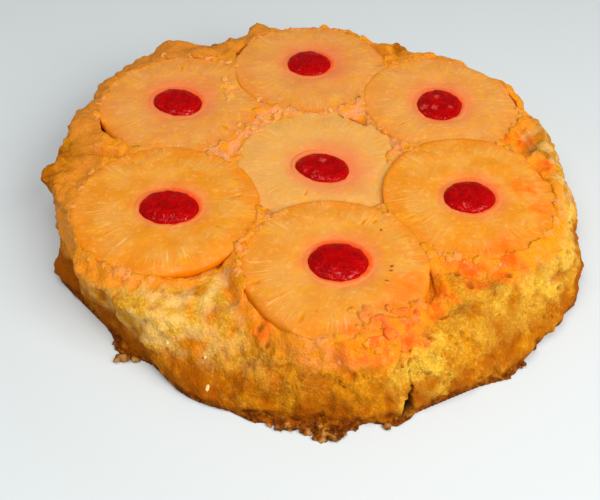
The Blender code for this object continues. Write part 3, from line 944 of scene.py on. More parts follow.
@dataclass
class Sponge:
    """The sponge: a torn, crumbly side and a soaked top that holds the fruit."""

    rings: tuple[Ring, ...]
    voxel: float = 0.9
    smoothing_steps: int = 3
    wall_smoothing_steps: int = 5
    wall_reach: float = 5.0
    wall_floor: float = 22.0
    """How far from a bare edge a thin wall of sponge can stand, and the height where it starts."""
    underside: float = 0.3
    """Below this height a point belongs to the flat underside."""
    crust_and_shade_heights: tuple[float, float] = (7.2, 2.4)
    baked_heights: tuple[float, float] = (22.0, 4.0)
    # Between which heights, going down, the crumb turns to dark crust, which along the base is also
    # painted shade, and brown from baking.
    """Between which heights, going down, the crumb turns to dark crust, and to baked brown."""
    hidden_share: float = 0.05
    hidden_gap: float = 3.0
    """How many of the hidden faces stay, as a share, and how near over them the fruit is."""
    lip_reach: float = 6.0
    lip_drop: float = 0.35
    bare_drop: float = 3.4
    lip_wave: float = 1.3
    lip_creep: float = 3.2
    lip_heights: tuple[float, float] = (26.0, 30.0)
    """Between which heights, going up, the sponge begins to rise beside a ring."""
    back_rim_drop: float = 5.0
    """How much lower the rim is behind the back ring, where the lip starts lower too."""
    swells: tuple[tuple[float, float], ...] = ((9.0, 1.5), (4.4, 1.2))
    top_lumps: tuple[tuple[float, float], ...] = ((5.5, 1.5), (2.8, 0.7))
    nodules: tuple[tuple[float, float], ...] = ((3.6, 1.5), (2.0, 0.8))
    """Rounded lumps of the crumb: (how far apart, height)."""
    pit_width: float = 3.0
    pit_depth: float = 1.3
    soak_reach: float = 11.0
    soak_heights: tuple[float, float] = (23.0, 29.0)
    """Between which heights, going up, it is soaked."""
    low_rim: tuple[float, float] = (92.0, 20.0)
    blotched: tuple[float, float] = (-122.0, 22.0)
    soft: tuple[float, float] = (-122.0, 24.0)
    barely_soaked: tuple[float, float] = (-122.0, 20.0)
    well_soaked: tuple[float, float] = (150.0, 60.0)
    browned_rim: tuple[float, float] = (140.0, 60.0)
    torn_front: tuple[float, float] = (-45.0, 40.0)
    torn_left: tuple[float, float] = (-125.0, 22.0)
    fresh_right: tuple[float, float] = (-22.0, 34.0)
    fresh_left: tuple[float, float] = (-124.0, 20.0)
    pale_right: tuple[float, float] = (2.0, 26.0)
    pale_left: tuple[float, float] = (-124.0, 17.0)
    """Sides of the cake, as hill takes them: (angle, half width)."""
    fresh_spot: tuple[float, float] = (44.0, -112.0)
    """Where the crack has opened the crumb."""
    crack: tuple[CrackPoint, ...] = (
        CrackPoint((38.6, -109.9, 25.5), 0.5, 1.5),
        CrackPoint((39.8, -113.4, 18.0), 0.6, 2.0),
        CrackPoint((40.6, -116.1, 12.3), 0.5, 1.5),
        CrackPoint((40.0, -118.6, 9.8), 0.7, 2.0),
        CrackPoint((39.7, -119.6, 8.0), 1.9, 4.5),
        CrackPoint((39.4, -121.3, 4.5), 2.1, 5.0),
    )
    """The crack in the front, from its upper end down."""
    crack_inward: tuple[float, float, float] = (-0.31, 0.95, 0.0)
    """Which way the crack cuts into the side."""
    crack_back: float = -95.0
    """What lies further back than this, in y, is out of the crack's reach."""
    gullies: tuple[tuple[CrackPoint, ...], ...] = (
        (CrackPoint((-44.0, -66.0, 35.0), 1.2, 1.2), CrackPoint((-38.5, -78.0, 34.0), 1.7, 2.2),
         CrackPoint((-35.0, -88.0, 31.0), 2.0, 1.8)),
        (CrackPoint((105.0, 30.0, 34.0), 2.0, 2.0), CrackPoint((107.0, 18.0, 34.0), 3.0, 3.4),
         CrackPoint((101.0, 7.0, 34.0), 2.2, 2.0)),
        (CrackPoint((50.0, -69.0, 34.0), 2.0, 2.5), CrackPoint((51.5, -79.0, 31.0), 2.6, 3.2),
         CrackPoint((49.0, -88.0, 30.0), 2.0, 1.6)),
        (CrackPoint((28.0, 108.0, 34.0), 2.0, 2.0), CrackPoint((36.0, 98.0, 34.0), 3.0, 3.2),
         CrackPoint((35.0, 90.0, 34.0), 2.0, 1.6)),
        (CrackPoint((-44.0, 96.0, 34.0), 2.2, 2.2), CrackPoint((-40.0, 84.0, 34.0), 2.6, 2.6)),
        (CrackPoint((-112.0, 4.0, 34.0), 2.4, 2.6), CrackPoint((-102.0, 2.0, 34.0), 2.8, 2.8)),
    )
    """Furrows in the soaked top, from end to end."""
    furrow_floor: float = 24.0
    """Below this height there is no furrow and no hole."""
    holes: tuple[tuple[float, float, float, float], ...] = (
        (60.9, -70.1, 1.5, 1.5),
        (66.2, -75.0, 1.7, 1.6),
        (84.0, -68.8, 1.5, 1.4),
        (-23.0, -101.7, 1.6, 2.0),
        (-20.0, -108.0, 1.3, 1.3),
    )
    """Small holes in the top and the shoulder: x, y, radius and depth."""
    stain_spots: tuple[tuple[float, float, float], ...] = (
        (13.0, -110.0, 10.0),
        (26.0, -107.0, 13.0),
        (38.0, -101.0, 12.0),
        (47.0, -88.0, 9.0),
        (66.0, -70.0, 11.0),
        (84.0, -64.0, 10.0),
        (-22.0, -102.0, 5.0),
        (103.0, 22.0, 9.0),
        (112.0, 2.0, 7.0),
        (56.0, -80.0, 7.0),
    )
    """Where caramel has soaked in: x, y and reach."""
    stain_heights: tuple[float, float] = (19.0, 27.0)
    """Between which heights, going up, the caramel begins to show."""
    rosy_middle: Spot = (-12.0, 22.0)
    rosy_front: Spot = (20.0, -108.0)
    """Round which places the soaked sponge is rosy."""

    def build(self, finish: bpy.types.Material, fruit: list[bpy.types.Object]) -> bpy.types.Object:
        """Makes the sponge round the finished fruit.

        Args:
            finish: The sponge's material.
            fruit: The finished rings and cherries.

        Returns:
            The finished piece.
        """
        piece = copy_of_node("cake", "sponge")
        finish_modifier(piece, "REMESH", mode="VOXEL", voxel_size=self.voxel * MM)
        finish_modifier(piece, "SMOOTH", factor=0.5, iterations=self.smoothing_steps)
        tree = search_tree(fruit)
        self.thin_out_hidden(piece, tree)
        self.shape(piece)
        return dress(piece, finish, "cake")

    def thin_out_hidden(self, piece: bpy.types.Object, fruit: BVHTree) -> None:
        """Leaves few faces where nobody sees them: under the fruit, and on the underside.

        Args:
            piece: The sponge.
            fruit: The fruit that covers it.
        """
        spots = spots_of(piece)
        for face in piece.data.polygons:
            place = Vector(spots[list(face.vertices)].mean(axis=0))
            under = place.z < 0.5
            covered = face.normal.z > 0.7 and self.is_covered(place, fruit)
            face.select = under or covered
        select_only(piece)
        bpy.ops.object.mode_set(mode="EDIT")
        bpy.ops.mesh.select_mode(type="FACE")
        bpy.ops.mesh.decimate(ratio=self.hidden_share)
        bpy.ops.object.mode_set(mode="OBJECT")

    def is_covered(self, place: Vector, fruit: BVHTree) -> bool:
        """Whether the fruit lies close over a place."""
        return fruit.ray_cast(place, -DOWN, self.hidden_gap)[0] is not None

    def shape(self, piece: bpy.types.Object) -> None:
        """Gives the sponge its crumb, presses its lips on to the fruit, and keeps what its
        material reads.

        Args:
            piece: The sponge.
        """
        spots, facing = spots_of(piece), normals_of(piece)
        names = ("browned_and_shaded", "crust_and_base_shade", "fresh", "soaked", "rosy", "toasted", "stained", "crevice_shade",
                 "crack_shade", "pale")
        kinds = {name: np.zeros(len(spots)) for name in names}
        thin_walls = []
        for index, (row, normal) in enumerate(zip(spots, facing)):
            spot = Vector(row)
            if spot.z < self.underside:
                spots[index][2] = 0.0
                kinds["browned_and_shaded"][index] = 1.0
                kinds["crust_and_base_shade"][index] = 1.0
                continue
            ring = min(self.rings, key=lambda each: each.outside(spot))
            outside = ring.outside(spot)
            soaked = self.soak(spot, outside)
            torn = self.torn(spot)
            free = ease(outside, -0.5, 3.0)
            near_edge = outside < self.wall_reach and spot.z > self.wall_floor
            if near_edge and ring.bare(spot) > 0.2:
                thin_walls.append(index)
            move, crevice_shade = self.relief(spot, soaked, torn)
            spots[index] += normal * (move * free * ease(spot.z, 0.4, 3.0))
            spots[index] += self.lip(spot, normal[2], ring)
            inward, crack_shade = self.carved(spot)
            downward, furrow = self.furrowed(spot)
            spots[index] += inward + Vector((0, 0, -downward))
            spots[index][2] = max(0.0, spots[index][2])
            low = ease(spot.z + 6 * unit_noise(spot / 13), *self.baked_heights)
            # Painted shade: the left side is browned darker, as the side away from the light
            left = ease(spot.x, -70.0, -110.0) * ease(spot.z, 29.0, 16.0)
            kinds["browned_and_shaded"][index] = min(1.0, 0.9 * low + 0.4 * (1 - torn) + 0.7 * left)
            # Dark crust towards the base, which is also painted shade along the base
            burnt = ease(spot.z + 3 * unit_noise(spot / 7), *self.crust_and_shade_heights)
            kinds["crust_and_base_shade"][index] = burnt
            kinds["fresh"][index] = self.freshness(spot)
            kinds["soaked"][index] = soaked
            kinds["toasted"][index] = self.toast(spot)
            blotch = 0.4 * hill(spot, *self.blotched) * ease(unit_noise(spot / 6), -0.1, 0.35)
            kinds["stained"][index] = max(self.stain(spot), blotch * ease(spot.z, 12.0, 20.0))
            kinds["rosy"][index] = self.pinkness(spot)
            # Painted shade in crevices, pits, furrows and holes
            kinds["crevice_shade"][index] = max(crevice_shade * free, furrow)
            # Painted shade inside the crack
            kinds["crack_shade"][index] = crack_shade
            kinds["pale"][index] = self.paleness(spot) * (1 - soaked)
        move_to(piece, spots)
        for name, values in kinds.items():
            keep(piece, name, values)
        group = piece.vertex_groups.new(name="thin_walls")
        group.add(thin_walls, 1.0, "REPLACE")
        finish_modifier(piece, "SMOOTH", factor=0.5, iterations=self.wall_smoothing_steps,
                        vertex_group=group.name)
        piece.vertex_groups.clear()

    def lip(self, spot: Vector, upward: float, ring: Ring) -> Vector:
        """How the sponge rises beside a ring, and here and there creeps over its edge.

        Args:
            spot: The place, in millimetres.
            upward: How far it faces up, from -1 to 1.
            ring: The nearest ring.

        Returns:
            The move to make, in millimetres.
        """
        outside = ring.outside(spot)
        near = ease(outside, self.lip_reach, 0.8) * ease(upward, -0.2, 0.4)
        lower = self.back_rim_drop * hill(spot, *self.low_rim) * ease(outside, -2.0, 0.0)
        near *= ease(spot.z, *(height - lower for height in self.lip_heights))
        if near == 0:
            return Vector()
        bare = ring.bare(spot)
        wave = unit_noise(spot / 5.0 + Vector((9, 4, 7))) + 0.5 * unit_noise(spot / 2.2)
        height = ring.level(spot) - self.lip_drop - self.bare_drop * bare
        rise = max(0.0, height + self.lip_wave * wave - spot.z)
        out = Vector((spot.x - ring.centre[0], spot.y - ring.centre[1], 0)).normalized()
        creep = 0.9 + self.lip_creep * max(0.0, wave) * (1 - bare)
        creep *= ease(outside, self.lip_reach, 0.0)
        return Vector((0, 0, rise * near)) - out * (creep * near)

    def freshness(self, spot: Vector) -> float:
        """How newly torn and pale the crumb is: most round the crack and along the right rim.

        Args:
            spot: The place, in millimetres.

        Returns:
            The share, from 0 to 1.
        """
        at_crack = ease(away_from(spot, *self.fresh_spot) + 5 * unit_noise(spot / 5), 20.0, 8.0)
        right = 0.95 * hill(spot, *self.fresh_right)
        right *= ease(spot.z + 6 * unit_noise(spot / 9), 9.0, 22.0)
        left = 0.6 * hill(spot, *self.fresh_left)
        left *= ease(spot.z + 4 * unit_noise(spot / 7), 13.0, 22.0)
        patch = ease(unit_noise(spot / 8 + Vector((6, 1, 3))), -0.6, 0.15)
        return max(at_crack, right, left) * patch

    def paleness(self, spot: Vector) -> float:
        """How pale and peachy the crumb is: most on the right rim and the front left's shoulder.

        Args:
            spot: The place, in millimetres.

        Returns:
            The share, from 0 to 1.
        """
        right = hill(spot, *self.pale_right) * ease(spot.z, 14.0, 26.0)
        left = hill(spot, *self.pale_left) * ease(spot.z, 13.0, 21.0)
        patch = ease(unit_noise(spot / 6 + Vector((8, 3, 5))), -0.35, 0.35)
        return 0.36 * max(right, left) * patch

    def pinkness(self, spot: Vector) -> float:
        """How rosy the soaked sponge is: most between the rings in the middle and at the back."""
        x, y = self.rosy_middle
        between = ease(math.hypot(spot.x - x, (spot.y - y) * 0.9), 75.0, 45.0)
        front = ease(away_from(spot, *self.rosy_front), 45.0, 15.0)
        return max(between, 0.45 * front, 0.12)

    def soak(self, spot: Vector, outside: float) -> float:
        """How much the sponge at a place is soaked by the fruit near it.

        Args:
            spot: The place, in millimetres.
            outside: How far outside the nearest ring's edge it is.

        Returns:
            1 where it is wet and rosy, 0 where it is dry crumb.
        """
        front_left = hill(spot, *self.barely_soaked)
        back = hill(spot, *self.well_soaked)
        reach = self.soak_reach * (1 - 0.55 * front_left + 1.4 * back)
        ragged = outside + 4.5 * unit_noise(spot / 6) + 2.0 * unit_noise(spot / 2.5)
        run_down = 10 * back * ease(unit_noise(spot / 15), -0.5, 0.6)
        high = ease(spot.z + 3.5 * unit_noise(spot / 6) + run_down, *self.soak_heights)
        return ease(ragged, reach, reach * 0.4) * high

    def torn(self, spot: Vector) -> float:
        """How far the crumb is torn open: most at the front right and the front left's shoulder,
        least where it kept its skin.

        Args:
            spot: The place, in millimetres.

        Returns:
            The share, from 0 to 1.
        """
        shoulder = ease(spot.z, 12.0, 24.0)
        front, left = hill(spot, *self.torn_front), hill(spot, *self.torn_left)
        bias = 0.35 * front + 0.5 * left * shoulder - 0.1
        return ease(unit_noise(spot / 24 + Vector((3, 8, 1))) + bias, -0.25, 0.3)

    def toast(self, spot: Vector) -> float:
        """How toasted the top is: most along the rim at the back and the left."""
        rim = ease(math.hypot(spot.x, spot.y) + 8 * unit_noise(spot / 9), 98.0, 116.0)
        return hill(spot, *self.browned_rim) * rim

    def relief(self, spot: Vector, soaked: float, torn: float) -> tuple[float, float]:
        """How far a place stands out, and how much painted shade darkens it between the nodules, in
        the pits and in the soaked lumps' valleys.

        Args:
            spot: The place, in millimetres.
            soaked: 1 where the sponge is soaked and lumpy, 0 where it is dry crumb.
            torn: 1 where the crumb is torn open, 0 where it keeps its skin.

        Returns:
            The move outwards in millimetres, and the share of the painted crevice shade.
        """
        upright = Vector((spot.x, spot.y, spot.z * 0.6))
        swell = layered_noise(spot, self.swells)
        lump = layered_noise(spot, self.top_lumps)
        nodule = 0.0
        deepest = 0.0
        for apart, height in self.nodules:
            away = noise.voronoi(upright / apart)[0][0]
            nodule += height * (0.45 - away)
            deepest = max(deepest, ease(away, 0.55, 0.9))
        pit = ease(unit_noise(upright / self.pit_width + Vector((5, 2, 8))), 0.34, 0.6)
        pit *= 0.4 + 0.6 * torn
        soft = hill(spot, *self.soft)
        rough = (0.6 + 0.4 * torn) * (1 - 0.45 * soft)
        dry = swell * (1 - 0.3 * soft) + (nodule - pit * self.pit_depth) * rough
        # Painted shade between the nodules, in the pits and in the soaked lumps' valleys
        crevice_shade = max(0.35 * deepest * rough, 0.75 * pit)
        valley = 0.15 * ease(lump, -0.3, -1.2)
        return dry * (1 - soaked) + lump * soaked, crevice_shade * (1 - soaked) + valley * soaked

    def carved(self, spot: Vector) -> tuple[Vector, float]:
        """The crack: how a place near it moves inwards, and how much painted shade darkens it
        there.

        Args:
            spot: The place, in millimetres.

        Returns:
            The move in millimetres, and the share of the painted shade inside the crack.
        """
        best = (math.inf, 1.0, 0.0)
        for upper, lower in zip(self.crack, self.crack[1:]):
            start, end = Vector(upper.place), Vector(lower.place)
            along = end - start
            share = min(1.0, max(0.0, (spot - start).dot(along) / along.length_squared))
            centre = start + along * share
            centre += Vector((1.4 * unit_noise(Vector((0, 0, centre.z / 2.0))), 0, 0))
            half = upper.half_width + (lower.half_width - upper.half_width) * share
            depth = upper.depth + (lower.depth - upper.depth) * share
            off = Vector((spot.x - centre.x, spot.z - centre.z)).length
            off += 0.5 * unit_noise(spot / 1.5)
            best = min(best, (off, half, depth))
        off, half, depth = best
        if off > half * 2 or spot.y > self.crack_back:
            return Vector(), 0.0
        bridged = ease(unit_noise(spot / 2.6 + Vector((1, 7, 2))), -0.1, 0.35)
        opened = min(1.0, ease(spot.z, 13.0, 9.0) + 0.3 + 0.7 * (1 - bridged))
        inward = depth * opened * ease(off, half * 1.6, half * 0.3)
        return Vector(self.crack_inward) * inward, opened * ease(off, half * 1.7, half * 0.5)

    def furrowed(self, spot: Vector) -> tuple[float, float]:
        """The furrows and holes of the top: how far down a place goes, and how much painted shade
        darkens it there.

        Args:
            spot: The place, in millimetres.

        Returns:
            The way down in millimetres, and the share of the painted shade in the furrows and
            holes.
        """
        down, dark = 0.0, 0.0
        if spot.z < self.furrow_floor:
            return down, dark
        wander = 1.4 * unit_noise(spot / 4)
        for points in self.gullies:
            for start, end in zip(points, points[1:]):
                a, b = Vector(start.place), Vector(end.place)
                a.z = b.z = spot.z
                along = b - a
                share = min(1.0, max(0.0, (spot - a).dot(along) / along.length_squared))
                off = (spot - a - along * share).length + wander
                half = start.half_width + (end.half_width - start.half_width) * share
                deep = start.depth + (end.depth - start.depth) * share
                here = ease(off, half * 1.6, half * 0.2)
                down, dark = max(down, deep * here), max(dark, 0.5 * here * deep / 3)
        for x, y, radius, deep in self.holes:
            off = away_from(spot, x, y) + 0.5 * wander
            here = ease(off, radius * 1.4, radius * 0.4)
            down, dark = max(down, deep * here), max(dark, here)
        return down, dark

    def stain(self, spot: Vector) -> float:
        """How much caramel has soaked in at a place.

        Args:
            spot: The place, in millimetres.

        Returns:
            The share, from 0 to 1.
        """
        if spot.z < self.stain_heights[0]:
            return 0.0
        deepest = 0.0
        for x, y, size in self.stain_spots:
            off = away_from(spot, x, y) / size + 0.45 * unit_noise(spot / 5)
            deepest = max(deepest, ease(off, 1.2, 0.35))
        return 0.95 * deepest * ease(spot.z, *self.stain_heights)


# Small pieces that lie on the others


@dataclass(frozen=True)
class Grain:
    """One small lump, crumb or flake, before it is joined to its like."""

    place: Vector
    facing: Vector
    half: tuple[float, float, float]
    """Half its length, half its width, and half its height over what it lies on."""
    turn: float
    ragged: float
    sunk: float
    """How deep its middle is in what it lies on, as a share of half its height."""

    def points(self, unit: np.ndarray) -> np.ndarray:
        """Its points, in millimetres, from those of a ball of radius 1.

        Args:
            unit: The ball's points, one row each.

        Returns:
            The grain's, one row each.
        """
        seed = self.place * 3.1
        spread = [1 + self.ragged * unit_noise(Vector(row) * 2.1 + seed) for row in unit]
        shaped = unit * np.array(self.half) * np.array(spread)[:, None]
        turned = self.facing.to_track_quat("Z", "Y") @ Quaternion((0, 0, 1), self.turn)
        middle = self.place - self.facing * (self.half[2] * self.sunk)
        return shaped @ np.array(turned.to_matrix()).T + np.array(middle)


def joined_grains(name: str, grains: list[Grain], detail: int) -> bpy.types.Object:
    """One mesh of many grains.

    Args:
        name: The new piece's name.
        grains: What it is made of.
        detail: How often the ball that each grows from is divided.

    Returns:
        The new object.
    """
    bpy.ops.object.select_all(action="DESELECT")
    bpy.ops.mesh.primitive_ico_sphere_add(subdivisions=detail, radius=MM)
    pattern = bpy.context.active_object
    unit = spots_of(pattern)
    corners = np.array([list(face.vertices) for face in pattern.data.polygons])
    bpy.data.objects.remove(pattern)
    spots = np.concatenate([grain.points(unit) for grain in grains])
    faces = np.concatenate([corners + index * len(unit) for index in range(len(grains))])
    mesh = bpy.data.meshes.new(name)
    mesh.from_pydata((spots * MM).tolist(), [], faces.tolist())
    piece = bpy.data.objects.new(name, mesh)
    bpy.context.scene.collection.objects.link(piece)
    return piece


@dataclass
class Trimmings:
    """The soaked lumps, stuck crumbs and flakes of crust that lie on the finished cake."""

    rings: tuple[Ring, ...]
    surface: BVHTree
    finish: bpy.types.Material
    seed: int = 5
    lump_count: int = 360
    lump_size: tuple[float, float] = (0.9, 2.9)
    lump_voxel: float = 0.5
    lump_smoothing_steps: int = 9
    lowest_lump: float = 27.0
    lump_reach: float = 125.0
    """How far from the middle of the cake a lump can lie."""
    top_height: float = 36.0
    """About how high the cake's top is."""
    stained_lumps: Spot = (34.0, -102.0)
    pale_lumps: Spot = (-25.0, 45.0)
    """Round which places the lumps are stained with caramel, and where they are paler."""
    heaped_sunk: float = 0.3
    edge_sunk: float = 0.6
    """How deep a lump sits, as a share of half its height: in a heap, and on a ring's edge."""
    lump_relief: tuple[tuple[float, float], ...] = ((2.4, 0.5), (1.1, 0.3))
    """How rough the lumps are: (how far apart, height)."""
    lump_clusters: tuple[tuple[float, float, float, int], ...] = (
        (-50.5, 59.4, 5.0, 16),
        (-46.0, 50.0, 3.0, 6),
        (-28.0, 30.0, 6.0, 16),
        (-38.0, 22.0, 4.0, 8),
        (38.0, 8.0, 4.0, 8),
        (-34.3, -57.0, 3.5, 4),
        (-20.0, 36.0, 3.0, 5),
        (24.0, -105.0, 9.0, 18),
        (35.0, -101.0, 9.0, 22),
        (43.0, -92.0, 5.0, 8),
        (-14.0, 120.8, 5.0, 9),
        (3.0, 121.8, 5.0, 9),
    )
    """Where lumps crowd: x, y, how far they spread, and how many."""
    crumb_count: int = 420
    crumb_size: tuple[float, float] = (0.35, 1.0)
    crumb_heights: tuple[float, float] = (1.0, 25.0)
    pale_crumbs: tuple[tuple[float, float, float, float], ...] = (
        (-44.5, -117.3, 9.8, 1.6),
        (-61.7, -102.0, 20.3, 0.9),
        (-45.7, -108.0, 18.7, 1.0),
    )
    """Pale crumbs that stuck to the side: x, y, z and half length."""
    flakes: tuple[tuple[float, float, float], ...] = (
        (-24.0, -123.0, 5.0),
        (-17.0, -125.0, 5.5),
        (-9.0, -126.5, 6.0),
        (-2.0, -128.0, 6.0),
        (5.0, -129.6, 6.5),
        (10.0, -130.2, 5.5),
        (14.5, -127.6, 4.5),
        (30.5, -122.9, 4.5),
        (36.5, -121.0, 4.0),
        (-81.1, -95.5, 5.0),
        (-86.3, -90.4, 4.0),
        (81.2, -98.9, 4.5),
        (90.0, -92.8, 3.5),
        (-60.0, 105.0, 4.0),
        (118.0, 40.0, 3.5),
    )
    """Flakes of torn crust round the base: x, y and half length."""
    grains_a_flake: int = 9
    start_over: float = 60.0
    start_beside: float = 200.0
    """Where the search for the cake's surface starts: over the base, and from the middle."""

    def build(self) -> None:
        """Makes the three pieces."""
        draw = random.Random(self.seed)
        self.lumps(draw)
        self.crumbs(draw)
        self.crust_flakes(draw)

    def lumps(self, draw: random.Random) -> None:
        """Soaked lumps of sponge and caramel that have crept over the rings' edges.

        Args:
            draw: Where its random numbers come from.
        """
        grains = []
        spots = [(x + draw.gauss(0, spread / 2), y + draw.gauss(0, spread / 2))
                 for x, y, spread, count in self.lump_clusters for _ in range(count)]
        while len(spots) < self.lump_count:
            angle, away = draw.uniform(0, math.tau), self.lump_reach * math.sqrt(draw.random())
            x, y = away * math.cos(angle), away * math.sin(angle)
            spot = Vector((x, y, self.top_height))
            ring = min(self.rings, key=lambda each: each.outside(spot))
            on_edge = -1.2 < ring.outside(spot) < 3.0 and ring.bare(spot) < 0.3
            if on_edge and unit_noise(spot / 14 + Vector((2, 6, 3))) > -0.05:
                spots.append((x, y))
        heaped = sum(count for *_, count in self.lump_clusters)
        for index, (x, y) in enumerate(spots):
            place, facing = self.from_above(x, y)
            if place is None or place.z < self.lowest_lump:
                continue
            size = draw.uniform(*self.lump_size)
            half = (size, size * draw.uniform(0.6, 0.95), size * draw.uniform(0.4, 0.6))
            sunk = self.heaped_sunk if index < heaped else self.edge_sunk
            grains.append(Grain(place, facing, half, draw.uniform(0, math.tau), 0.35, sunk))
        piece = joined_grains("soaked_lumps", grains, 3)
        finish_modifier(piece, "REMESH", mode="VOXEL", voxel_size=self.lump_voxel * MM)
        finish_modifier(piece, "SMOOTH", factor=0.5, iterations=self.lump_smoothing_steps)
        spots, facing = spots_of(piece), normals_of(piece)
        for index, (row, normal) in enumerate(zip(spots, facing)):
            spots[index] += normal * layered_noise(Vector(row), self.lump_relief)
        move_to(piece, spots)
        places = [Vector(row) for row in spots]
        tints = [unit_noise(place / 9 + Vector((4, 4, 1))) for place in places]
        reddened = [ease(tint, 0.1, 0.4) for tint in tints]
        keep(piece, "soaked", np.ones(len(spots)))
        front = [ease(away_from(place, *self.stained_lumps), 22.0, 8.0) for place in places]
        keep(piece, "stained", np.maximum(np.array(reddened) * 0.2, np.array(front) * 0.8))
        keep(piece, "rosy", np.array([0.6 + 0.4 * share for share in reddened]))
        far = [ease(away_from(place, *self.pale_lumps), 62.0, 35.0) for place in places]
        keep(piece, "pale", 0.12 * np.array(far))
        dress(piece, self.finish)

    def crumbs(self, draw: random.Random) -> None:
        """Small crumbs that stick to the torn side and the shoulder.

        Args:
            draw: Where its random numbers come from.
        """
        grains = []
        while len(grains) < self.crumb_count:
            angle, height = draw.uniform(0, math.tau), draw.uniform(*self.crumb_heights)
            place, facing = self.from_side(angle, height)
            if place is None or unit_noise(place / 17 + Vector((1, 2, 9))) < -0.15:
                continue
            size = draw.uniform(*self.crumb_size) ** 1.3
            half = (size, size * draw.uniform(0.6, 0.95), size * draw.uniform(0.5, 0.9))
            grains.append(Grain(place, facing, half, draw.uniform(0, math.tau), 0.55, 0.2))
        small = len(grains)
        for x, y, z, length in self.pale_crumbs:
            place, facing = self.from_side(math.atan2(y, x), z)
            grains.append(Grain(place, facing, (length, length * 0.6, length * 0.6), 1.2, 0.4, 0.1))
        piece = joined_grains("stuck_crumbs", grains, 2)
        each = len(piece.data.vertices) // len(grains)
        keep(piece, "pale", np.repeat([0.0] * small + [0.9] * len(self.pale_crumbs), each))
        low = [ease(grain.place.z, 15.0, 4.0) for grain in grains]
        browned_and_shaded = [0.4 * draw.random() + 0.6 * share for share in low]
        keep(piece, "browned_and_shaded", np.repeat(browned_and_shaded, each))
        # Darker near the base, as crust and painted shade
        keep(piece, "crust_and_base_shade", np.repeat([0.5 * share for share in low], each))
        dress(piece, self.finish)

    def crust_flakes(self, draw: random.Random) -> None:
        """Thin ragged flakes of dark crust that hang on to the base.

        Args:
            draw: Where its random numbers come from.
        """
        grains = []
        for x, y, length in self.flakes:
            for _ in range(self.grains_a_flake):
                aside, outward = draw.gauss(0, length * 0.4), draw.gauss(0, length * 0.3)
                place = Vector((x + aside, y + outward, 0.9))
                tilt = Vector((draw.gauss(0, 0.2), draw.gauss(0, 0.2), 1)).normalized()
                size = length * draw.uniform(0.2, 0.6)
                half = (size, size * draw.uniform(0.5, 0.9), draw.uniform(0.3, 0.8))
                grains.append(Grain(place, tilt, half, draw.uniform(0, math.tau), 0.65, 0.0))
        piece = joined_grains("crust_flakes", grains, 3)
        spots = spots_of(piece)
        spots[:, 2] = np.maximum(spots[:, 2], 0.05)
        move_to(piece, spots)
        light = np.array([ease(unit_noise(Vector(row) / 2.8), -0.1, 0.6) for row in spots])
        keep(piece, "browned_and_shaded", np.ones(len(spots)))
        # Dark crust, darkened further as painted shade at the base
        keep(piece, "crust_and_base_shade", 0.9 - 0.55 * light)
        keep(piece, "pale", 0.24 * light)
        dress(piece, self.finish)

    def from_above(self, x: float, y: float) -> tuple[Vector | None, Vector | None]:
        """Where the cake's surface is under a place, and which way it faces there."""
        place, facing, _, _ = self.surface.ray_cast(Vector((x, y, self.start_over)), DOWN)
        return place, facing

    def from_side(self, angle: float, height: float) -> tuple[Vector | None, Vector | None]:
        """Where the cake's side is at an angle and a height, and which way it faces there.

        Args:
            angle: The direction from the middle, in radians.
            height: The height over the base, in millimetres.

        Returns:
            The place and the direction, each None where nothing is met.
        """
        out = Vector((math.cos(angle), math.sin(angle), 0))
        start = out * self.start_beside + Vector((0, 0, height))
        place, facing, _, _ = self.surface.ray_cast(start, -out)
        return place, facing


# Putting the pieces in the scene


def dress(piece: bpy.types.Object, finish: bpy.types.Material,
          node: str | None = None) -> bpy.types.Object:
    """Gives a piece its material and its place in the frame.

    Args:
        piece: The finished shape.
        finish: Its material.
        node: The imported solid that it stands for, if any.

    Returns:
        The same piece.
    """
    piece.data.materials.clear()
    piece.data.materials.append(finish)
    piece.data.shade_smooth()
    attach(piece, "root")
    if node:
        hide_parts(node)
    LOG.info("%s: %d points, %d faces", piece.name, len(piece.data.vertices),
             len(piece.data.polygons))
    return piece


